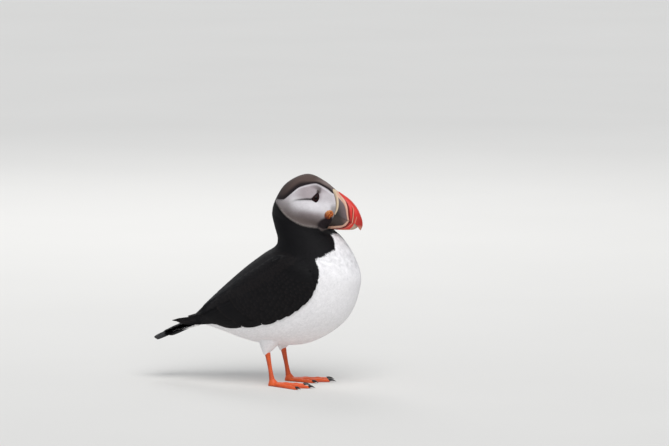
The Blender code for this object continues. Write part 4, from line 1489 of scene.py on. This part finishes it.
class PUFFIN_OT_eyes(bpy.types.Operator):
    """Adds the eyes, their dark rims and the horny plates above and below them"""

    bl_idname = "puffin.eyes"
    bl_label = "Eyes"

    def execute(self, context):
        frame_here = face_frame(EYE_AT)
        for side, sign in SIDES.items():
            self.add_ball(side, sign, frame_here[0], frame_here[3])
            self.add_rim(side, sign, frame_here)
        return {"FINISHED"}

    def add_ball(self, side, sign, place, out):
        """Eyeball with its dark pupil and iris drawn about its outward axis."""
        centre = place - out * (EYE_RADIUS - EYE_PROUD)
        first = unit(np.cross(out, (0.0, 0, 1)))
        ball, lean = ball_rays(40, 48)
        ray = ball @ np.array([first, np.cross(out, first), out])
        away = EYE_RADIUS * np.sin(lean)
        shade = mix(tone_at("iris", lean), tone("black") * 0.15, 1 - step(away, *PUPIL_EDGE))
        shade = mix(shade, tone("bare_skin"), step(away, *IRIS_EDGE))
        parts = Parts()
        parts.add_closed((centre + EYE_RADIUS * ray) * (1, sign, 1), shade)
        parts.make(f"eyeball_{side}", "eyeball", "eye", [f"eye_{side}"])

    def add_rim(self, side, sign, frame_here):
        """The rim, the bare skin inside it, the two plates and the pale fold over the hind corner."""
        parts = Parts()
        radius = sizes().eyelid_radius / MM
        rim = closed_curve(EYELID, 12)
        self.add_welt(parts, sign, frame_here, rim, radius, 0.10, tone("bare_skin"))
        fold = smooth_through(LID_FOLD, np.linspace(0, len(LID_FOLD) - 1, 30))
        swell = 0.05 + 0.38 * np.sin(np.linspace(0, np.pi, 30)) ** 0.6
        self.add_welt(parts, sign, frame_here, fold, swell, 0.15, tone("cheek") * 0.95)
        self.add_plate(parts, sign, frame_here, UPPER_PLATE, 0.25, tone("eye_plate") * 0.55)
        self.add_plate(parts, sign, frame_here, LOWER_PLATE, 0.35, tone("bare_skin") * 1.5)
        self.add_lid(parts, sign, frame_here, rim)
        parts.make(f"eyelid_{side}", "lid_skin", "orange_skin")

    def on_face(self, frame_here, flat, height):
        """Points of a flat outline laid on the curve of the face round the eye."""
        place, forward, up, out = frame_here
        sag = np.sum(flat**2, axis=-1) / 46.0
        return place + flat[..., :1] * forward + flat[..., 1:] * up + (height - sag)[..., None] * out

    def add_welt(self, parts, sign, frame_here, path, radius, rise, shade):
        """A soft round welt along a path; a path that meets itself makes a ring."""
        closed = np.allclose(path[0], path[-1])
        course = np.gradient(path, axis=0)
        if closed:
            course[0] = course[-1] = path[1] - path[-2]
        course = unit(course)
        aside = np.stack([course[:, 1], -course[:, 0]], -1)
        turn = np.linspace(0, TURN, 13)
        radius = np.broadcast_to(radius, len(path))[:, None]
        flat = path[:, None] + aside[:, None] * (radius * np.cos(turn))[..., None]
        point = self.on_face(frame_here, flat, rise + radius * 0.9 * np.sin(turn)) * (1, sign, 1)
        if closed:
            parts.add(point, facing_out(point.reshape(-1, 3), [quads(len(path), 13)]), shade, (0.4, 0.4))
        else:
            parts.add_closed(point, shade)

    def add_plate(self, parts, sign, frame_here, outline, rise, shade):
        """A small raised plate of bare horn: a dome over its outline, closed below."""
        edge = closed_curve(outline, 8)
        middle = edge[:-1].mean(0)
        share = np.array([0.98, 0.5, 0, 0, 0.15, 0.4, 0.7, 0.98])[:, None, None]
        height = np.array([-1.2, -1.2, -1.2, 0.0, 0.6, 0.9, 1.0, 1.0])[:, None] * rise
        flat = edge[None] + (middle - edge[None]) * share
        point = self.on_face(frame_here, flat, height + 0 * flat[..., 0]) * (1, sign, 1)
        parts.add_closed(point, shade)

    def add_lid(self, parts, sign, frame_here, edge):
        """Bare skin between the rim and the eyeball, a thin collar closed on itself."""
        reach = np.linalg.norm(edge, axis=-1, keepdims=True)
        inner = edge / reach * np.minimum(reach - 0.3, 2.5)
        share = np.array([0, 0.35, 0.7, 1, 1, 0.5, 0, 0])[:, None, None]
        height = np.array([0.15, 0.2, 0.3, 0.3, -0.6, -0.6, -0.6, 0.15])[:, None]
        flat = edge[None] + (inner - edge)[None] * share
        point = self.on_face(frame_here, flat, height + 0 * flat[..., 0]) * (1, sign, 1)
        faces = facing_out(point.reshape(-1, 3), [quads(*point.shape[:2])])
        parts.add(point, faces, tone("bare_skin"), (0.5, 0.5))


class PUFFIN_OT_gape(bpy.types.Operator):
    """Adds the wrinkled orange rosettes at the corners of the mouth"""

    bl_idname = "puffin.gape"
    bl_label = "Gape rosettes"

    def execute(self, context):
        place, forward, up, out = face_frame(ROSETTE_AT)
        ball, _ = ball_rays(64, 120)
        # Folds fan out from the corner of the mouth, at the forward end, and knot as they near the rim.
        fan_turn = np.arctan2(ball[..., 1], 1.25 - ball[..., 0])
        reach = np.hypot(ball[..., 1], 1.25 - ball[..., 0])
        folds = np.sin(13 * fan_turn + 1.2 * np.sin(4 * reach)) * step(reach, 0.2, 0.7)
        knots = np.sin(13 * reach + 3.0 * np.sin(3 * fan_turn)) * np.sin(9 * fan_turn + 1)
        crease = bump(ball[..., 1] - 0.15 * np.sin(4 * ball[..., 0]), 0, 0.16) * step(ball[..., 2], 0.1, 0.5)
        pit = bump(np.hypot(ball[..., 0] - 0.45, ball[..., 1] + 0.05), 0, 0.20) * step(ball[..., 2], 0.1, 0.5)
        swell = 1 + 0.055 * folds + 0.05 * knots - 0.16 * crease - 0.20 * pit
        along, across, height = np.moveaxis(ball * swell[..., None] * ROSETTE_RADII, -1, 0)
        x, z = turned(along, across, ROSETTE_TURN_DEGREES)
        height = height - (x**2 + z**2) / 50.0 - 0.6
        point = place + x[..., None] * forward + z[..., None] * up + height[..., None] * out
        # Painted shade in the hollows: between the folds and knots, in the crease and in the pit.
        painted_hollow_shade = np.clip(0.30 - 0.45 * folds - 0.40 * knots + 0.7 * crease + 1.0 * pit, 0, 1)
        shade = mix(tone_at("gape", x), tone("gape") * (0.50, 0.28, 0.30), painted_hollow_shade)
        upper = step(ball[..., 1], 0.1, 0.8) * (1 - 0.5 * painted_hollow_shade)
        shade = mix(shade, tone("cream") * (0.8, 0.55, 0.3), 0.55 * upper)
        shade = mix(shade, tone("cream") * (0.9, 0.62, 0.4), 0.5 * step(ball[..., 0], 0.6, 0.95))
        shade = mix(shade, tone("gape") * (0.20, 0.07, 0.12), 0.92 * step(-ball[..., 0], -0.15, 0.8))
        for side, sign in SIDES.items():
            parts = Parts()
            parts.add_closed(point * (1, sign, 1), shade)
            parts.make(f"rosette_{side}", "scaly_skin", "orange_skin", [f"gape_rosette_{side}"])
        return {"FINISHED"}


# ---- legs and feet -----------------------------------------------------------
def toe_ends():
    """Each toe's end in the foot's own plane: x forward, y towards the other foot."""
    return {name: np.array(turned(reach, 0, degrees)) for name, (degrees, reach) in TOES.items()}


def to_foot(plane, height, sign):
    """From a foot's own plane to the bird's frame."""
    forward, inward = turned(plane[..., 0], plane[..., 1], -TOE_OUT_DEGREES)
    return np.stack([FOOT_X + forward, sign * (FOOT_Y - inward), height], -1)


def foot_outline(share):
    """Front edge of the foot from the outer toe to the inner one: toe ends with hollow webs between."""
    order = ("outer", "middle", "inner")
    angles = [TOES[name][0] for name in order]
    lengths = [TOES[name][1] for name in order]
    half = [math.degrees(math.asin(TOE_HALF_WIDTH / reach)) for reach in lengths]
    marks = np.ravel([(angle - h, angle + h) for angle, h in zip(angles, half)])
    turn = np.interp(share, [0, 0.12, 0.45, 0.55, 0.88, 1], marks)
    radius = np.interp(turn, marks, np.repeat(lengths, 2))
    for low, high in ((marks[1], marks[2]), (marks[3], marks[4])):
        inside = np.clip((turn - low) / (high - low), 0, 1)
        radius = radius * (1 - WEB_NOTCH * np.sin(math.pi * inside))
    turn = np.radians(turn)
    return np.stack([radius * np.cos(turn), radius * np.sin(turn)], -1)


def soft_top(heights, blend=0.45):
    """The highest of several heights, creases rounded: blend * log of the sum of exp(height / blend)."""
    heights = np.stack(np.broadcast_arrays(*heights))
    top = heights.max(0)
    return top + blend * np.log(np.exp((heights - top) / blend).sum(0))


def foot_relief(plane):
    """Height of the foot's top and how much of it is toe: knuckled toes with cross scales, webs, joint."""
    heights = [np.full(plane.shape[:-1], WEB_THICKNESS * 0.7)]
    toe_share = np.zeros(plane.shape[:-1])
    for end in toe_ends().values():
        reach = np.linalg.norm(end)
        along = np.clip((plane @ end) / (end @ end), 0, 1)
        away = np.linalg.norm(plane - along[..., None] * end, axis=-1)
        knuckle = 0.45 * (bump(along, 0.43, 0.13) + bump(along, 0.74, 0.10))
        crown = bump(away, 0, 0.8 * TOE_HALF_WIDTH)
        scale = 0.16 * (np.abs(np.sin(np.pi * along * reach / 1.5)) ** 0.5 - 1) * crown
        half = TOE_HALF_WIDTH * (1.2 + 0.12 * knuckle)
        round_top = np.sqrt(np.clip(1 - (away / half) ** 2, 0, 1))
        heights.append((3.7 - 1.1 * along + knuckle + scale) * round_top)
        toe_share = np.maximum(toe_share, step(round_top, 0.1, 0.7))
    wrinkle = np.sin(2.3 * plane[..., 0] + 1.3 * np.sin(0.9 * plane[..., 1])) * np.sin(1.9 * plane[..., 1])
    away = np.linalg.norm(plane * (1, 1.15), axis=-1)
    heights.append(HUB_HEIGHT * np.exp(-((away / 5.4) ** 2)))
    top = soft_top(heights) + 0.10 * wrinkle * (1 - toe_share)
    return np.minimum(top, HUB_HEIGHT), np.maximum(toe_share, step(away, 11, 7))


class PUFFIN_OT_feet(bpy.types.Operator):
    """Adds the scaly shanks, the webbed feet and the claws"""

    bl_idname = "puffin.feet"
    bl_label = "Legs and feet"

    def execute(self, context):
        for side, sign in SIDES.items():
            self.add_shank(side, sign)
            self.add_foot(side, sign)
            self.add_claws(side, sign)
        return {"FINISHED"}

    def add_shank(self, side, sign):
        """The bare shank: narrow across, with scutes down its front and small scales round the rest."""
        foot = np.array([FOOT_X, FOOT_Y, HUB_HEIGHT * 0.35])
        radii = [(2.0, 1.9), (2.9, 2.3), (2.55, 1.9), (2.2, 1.65), (2.2, 1.7), (2.6, 2.3), (3.3, 3.1)]
        shares = [0, 0.12, 0.28, 0.5, 0.68, 0.84, 1.0]
        top = ANKLE + (0, 0, 3.0)
        surface = limb_surface([top + (foot - top) * s for s in shares], radii)
        at, around = grid_of(np.linspace(0, len(shares) - 1, 190), np.linspace(0, TURN, 73))
        point = surface(at, around)
        middle = point.mean(1, keepdims=True)
        front = step(np.cos(around), 0.25, 0.75)
        drop = top[2] - point[..., 2] + 0.35 * np.cos(2 * around)
        scute = np.abs(np.sin(np.pi * drop / 1.7)) ** 0.4
        ring = np.floor(drop / 0.95)
        bead = np.abs(np.sin(np.pi * drop / 0.95) * np.sin(8 * around + np.pi / 2 * (ring % 2))) ** 0.35
        relief = 0.20 * (scute - 1) * front + 0.10 * (bead - 1) * (1 - front)
        point = point + unit(point - middle) * relief[..., None]
        groove = np.clip(1 - scute, 0, 1) * front + 0.6 * (1 - bead) * (1 - front)
        shade = mix(tone_at("foot", at), tone("web") * 0.6, np.clip(groove, 0, 1))
        shade = mix(shade, tone("web") * 0.7, (1 - step(np.cos(around), -0.6, 0.3)) * 0.5)
        parts = Parts()
        parts.add_closed(point * (1, sign, 1), shade)
        parts.make(f"shank_{side}", "scaly_skin", "orange_skin", [f"leg_{side}"])

    def add_foot(self, side, sign):
        """A webbed foot: rings from the heel out over toes and webs to the rim and back under a flat sole."""
        rows, columns = 96, 170
        share = np.linspace(0, 1, columns)
        heel = np.pi * (share - 0.5)
        start = 4.2 * np.stack([-np.cos(heel), np.sin(heel)], -1)
        out = np.sin(np.linspace(0, np.pi / 2, rows))[:, None, None]
        plane = start[None] + (foot_outline(share) - start)[None] * out
        height, toe_share = foot_relief(plane)
        rim = np.concatenate([start[::-3], foot_outline(share)[::2], start[-1:]])
        away, _ = path_distance(plane[..., 0], plane[..., 1], rim)
        rounded = np.sqrt(np.clip(1 - (1 - away / FOOT_ROUNDING) ** 2, 0, 1)) * (away < FOOT_ROUNDING)
        rounded = rounded + (away >= FOOT_ROUNDING)
        top = to_foot(plane, np.maximum(height * (0.25 + 0.75 * rounded), 0.5), sign)
        shade = mix(tone_at("web", height), tone("foot"), toe_share)
        sole = to_foot(plane, 0 * height, sign)
        ring = np.concatenate([top, sole[::-1], top[:1]]).swapaxes(0, 1)
        under = np.broadcast_to(tone("web") * 0.55, shade.shape)
        parts = Parts()
        parts.add_closed(ring, np.concatenate([shade, under, shade[:1]]).swapaxes(0, 1))
        parts.make(f"web_foot_{side}", "scaly_skin", "orange_skin", [f"foot_{side}"])

    def add_claws(self, side, sign):
        """Curved claws: round rings that taper along an arc to a blunt point."""
        turn = np.linspace(0, TURN, 25)
        for toe, end in toe_ends().items():
            forward = end / np.linalg.norm(end)
            aside = np.array([-forward[1], forward[0]])
            share = np.linspace(0, 1, 30)[:, None]
            radius = CLAW_RADIUS * (1 - 0.9 * share**1.6)
            middle = end + forward * (GAP - 1.4 + (CLAW_LENGTH + 1.0) * share)
            height = 1.8 + 1.3 * np.sin(np.pi * 0.6 * share) - 2.3 * share**1.6
            plane = middle[:, None] + aside * (0.85 * radius * np.cos(turn))[..., None]
            point = to_foot(plane, height + radius * np.sin(turn), sign)
            shade = mix(tone_at("claw", point[..., 0]), tone("claw") * 2.4, step(share, 0.5, 1.0) + 0 * turn)
            parts = Parts()
            parts.add_closed(point, shade)
            parts.make(f"claw_horn_{side}_{toe}", "claw_horn", "dark_horn", [f"claw_{side}_{toe}"])


# ---- studio ------------------------------------------------------------------
FLOOR_HALF = 20.0  # metres
CAMERA_AZIMUTH_DEGREES = 22.0  # from the bird's right side towards its front
CAMERA_ELEVATION_DEGREES = 6.0
CAMERA_DISTANCE = 6.0  # metres
VIEW_WIDTH = 0.649  # metres across the view at the bird
AIM = (17.9, 157.1)  # mm from the frame's middle, along the view and up it


def camera_axes():
    """Unit vectors of the view: right, up and towards the camera."""
    a, e = math.radians(CAMERA_AZIMUTH_DEGREES), math.radians(CAMERA_ELEVATION_DEGREES)
    right = np.array([math.cos(a), math.sin(a), 0.0])
    toward = np.array([math.sin(a) * math.cos(e), -math.cos(a) * math.cos(e), math.sin(e)])
    return right, np.cross(toward, right), toward


class PUFFIN_OT_stage(bpy.types.Operator):
    """Adds the floor, the soft lights and the camera"""

    bl_idname = "puffin.stage"
    bl_label = "Stage"

    def execute(self, context):
        self.add_floor()
        self.add_lights()
        self.add_camera()
        return {"FINISHED"}

    def add_floor(self):
        mesh = bpy.data.meshes.new("floor")
        corners = [(x * FLOOR_HALF, y * FLOOR_HALF, 0) for x, y in ((-1, -1), (1, -1), (1, 1), (-1, 1))]
        mesh.from_pydata(corners, [], [(0, 1, 2, 3)])
        paint = bpy.data.materials.new("floor")
        paint.use_nodes = True
        tree = paint.node_tree
        shader = tree.nodes["Principled BSDF"]
        place = node(tree, "TexCoord").outputs["Object"]
        cloud = node(tree, "TexNoise", {"Vector": place, "Scale": 3.0}).outputs["Fac"]
        base = tone("floor")
        tint = node(tree, "ValToRGB", {"Fac": cloud})
        tint.color_ramp.elements[0].color = (*base * 0.97, 1)
        tint.color_ramp.elements[1].color = (*base * 1.02, 1)
        tree.links.new(tint.outputs["Color"], shader.inputs["Base Color"])
        shader.inputs["Roughness"].default_value = 0.9
        mesh.materials.append(paint)
        floor = bpy.data.objects.new("floor", mesh)
        bpy.context.scene.collection.objects.link(floor)

    def add_light(self, name, kind, place, power, spread):
        """A soft lamp that faces the bird; spread is a sun's angle in degrees or a panel's side in metres."""
        lamp = bpy.data.lights.new(name, kind)
        lamp.energy = power
        if kind == "SUN":
            lamp.angle = math.radians(spread)
        else:
            lamp.size = spread
        made = bpy.data.objects.new(name, lamp)
        made.location = place
        aim = Vector((0.03, 0, 0.14)) - made.location
        made.rotation_euler = aim.to_track_quat("-Z", "Y").to_euler()
        bpy.context.scene.collection.objects.link(made)

    def add_lights(self):
        self.add_light("key", "SUN", (1.2, -1.6, 2.6), 2.1, 50.0)
        self.add_light("back", "AREA", (-0.9, 1.5, 1.4), 9.0, 1.0)
        world = bpy.data.worlds.new("studio")
        world.use_nodes = True
        world.node_tree.nodes["Background"].inputs["Color"].default_value = (0.90, 0.94, 1.0, 1)
        world.node_tree.nodes["Background"].inputs["Strength"].default_value = 0.5
        bpy.context.scene.world = world
        bpy.context.scene.view_settings.view_transform = "Standard"

    def add_camera(self):
        right, up, toward = camera_axes()
        lens = bpy.data.cameras.new("camera")
        lens.lens = lens.sensor_width * CAMERA_DISTANCE / VIEW_WIDTH
        lens.clip_end = 60.0
        made = bpy.data.objects.new("camera", lens)
        made.location = (right * AIM[0] + up * AIM[1] + SHIFT) * MM + toward * CAMERA_DISTANCE
        made.rotation_euler = np.radians((90 - CAMERA_ELEVATION_DEGREES, 0, CAMERA_AZIMUTH_DEGREES))
        bpy.context.scene.collection.objects.link(made)
        bpy.context.scene.camera = made


# ---- add-on ------------------------------------------------------------------
OPERATORS = (
    PUFFIN_OT_skin, PUFFIN_OT_head_coat, PUFFIN_OT_body_coat, PUFFIN_OT_wings, PUFFIN_OT_tail, PUFFIN_OT_bill,
    PUFFIN_OT_eyes, PUFFIN_OT_gape, PUFFIN_OT_feet, PUFFIN_OT_stage,
)


class PUFFIN_PT_panel(bpy.types.Panel):
    """Lists the settings and the pieces"""

    bl_idname = "PUFFIN_PT_panel"
    bl_label = "Puffin"
    bl_space_type = "VIEW_3D"
    bl_region_type = "UI"
    bl_category = "Puffin"

    def draw(self, context):
        for group in (context.scene.puffin_sizes, context.scene.puffin_colours):
            for name in group.__annotations__:
                self.layout.prop(group, name)
        for operator in OPERATORS:
            self.layout.operator(operator.bl_idname)


def register():
    for cls in (PuffinSizes, PuffinColours, *OPERATORS, PUFFIN_PT_panel):
        bpy.utils.register_class(cls)
    bpy.types.Scene.puffin_sizes = PointerProperty(type=PuffinSizes)
    bpy.types.Scene.puffin_colours = PointerProperty(type=PuffinColours)


def unregister():
    del bpy.types.Scene.puffin_colours
    del bpy.types.Scene.puffin_sizes
    for cls in reversed((PuffinSizes, PuffinColours, *OPERATORS, PUFFIN_PT_panel)):
        bpy.utils.unregister_class(cls)


def main():
    register()
    for operator in OPERATORS:
        group, name = operator.bl_idname.split(".")
        getattr(getattr(bpy.ops, group), name)()


if __name__ == "__main__":
    main()
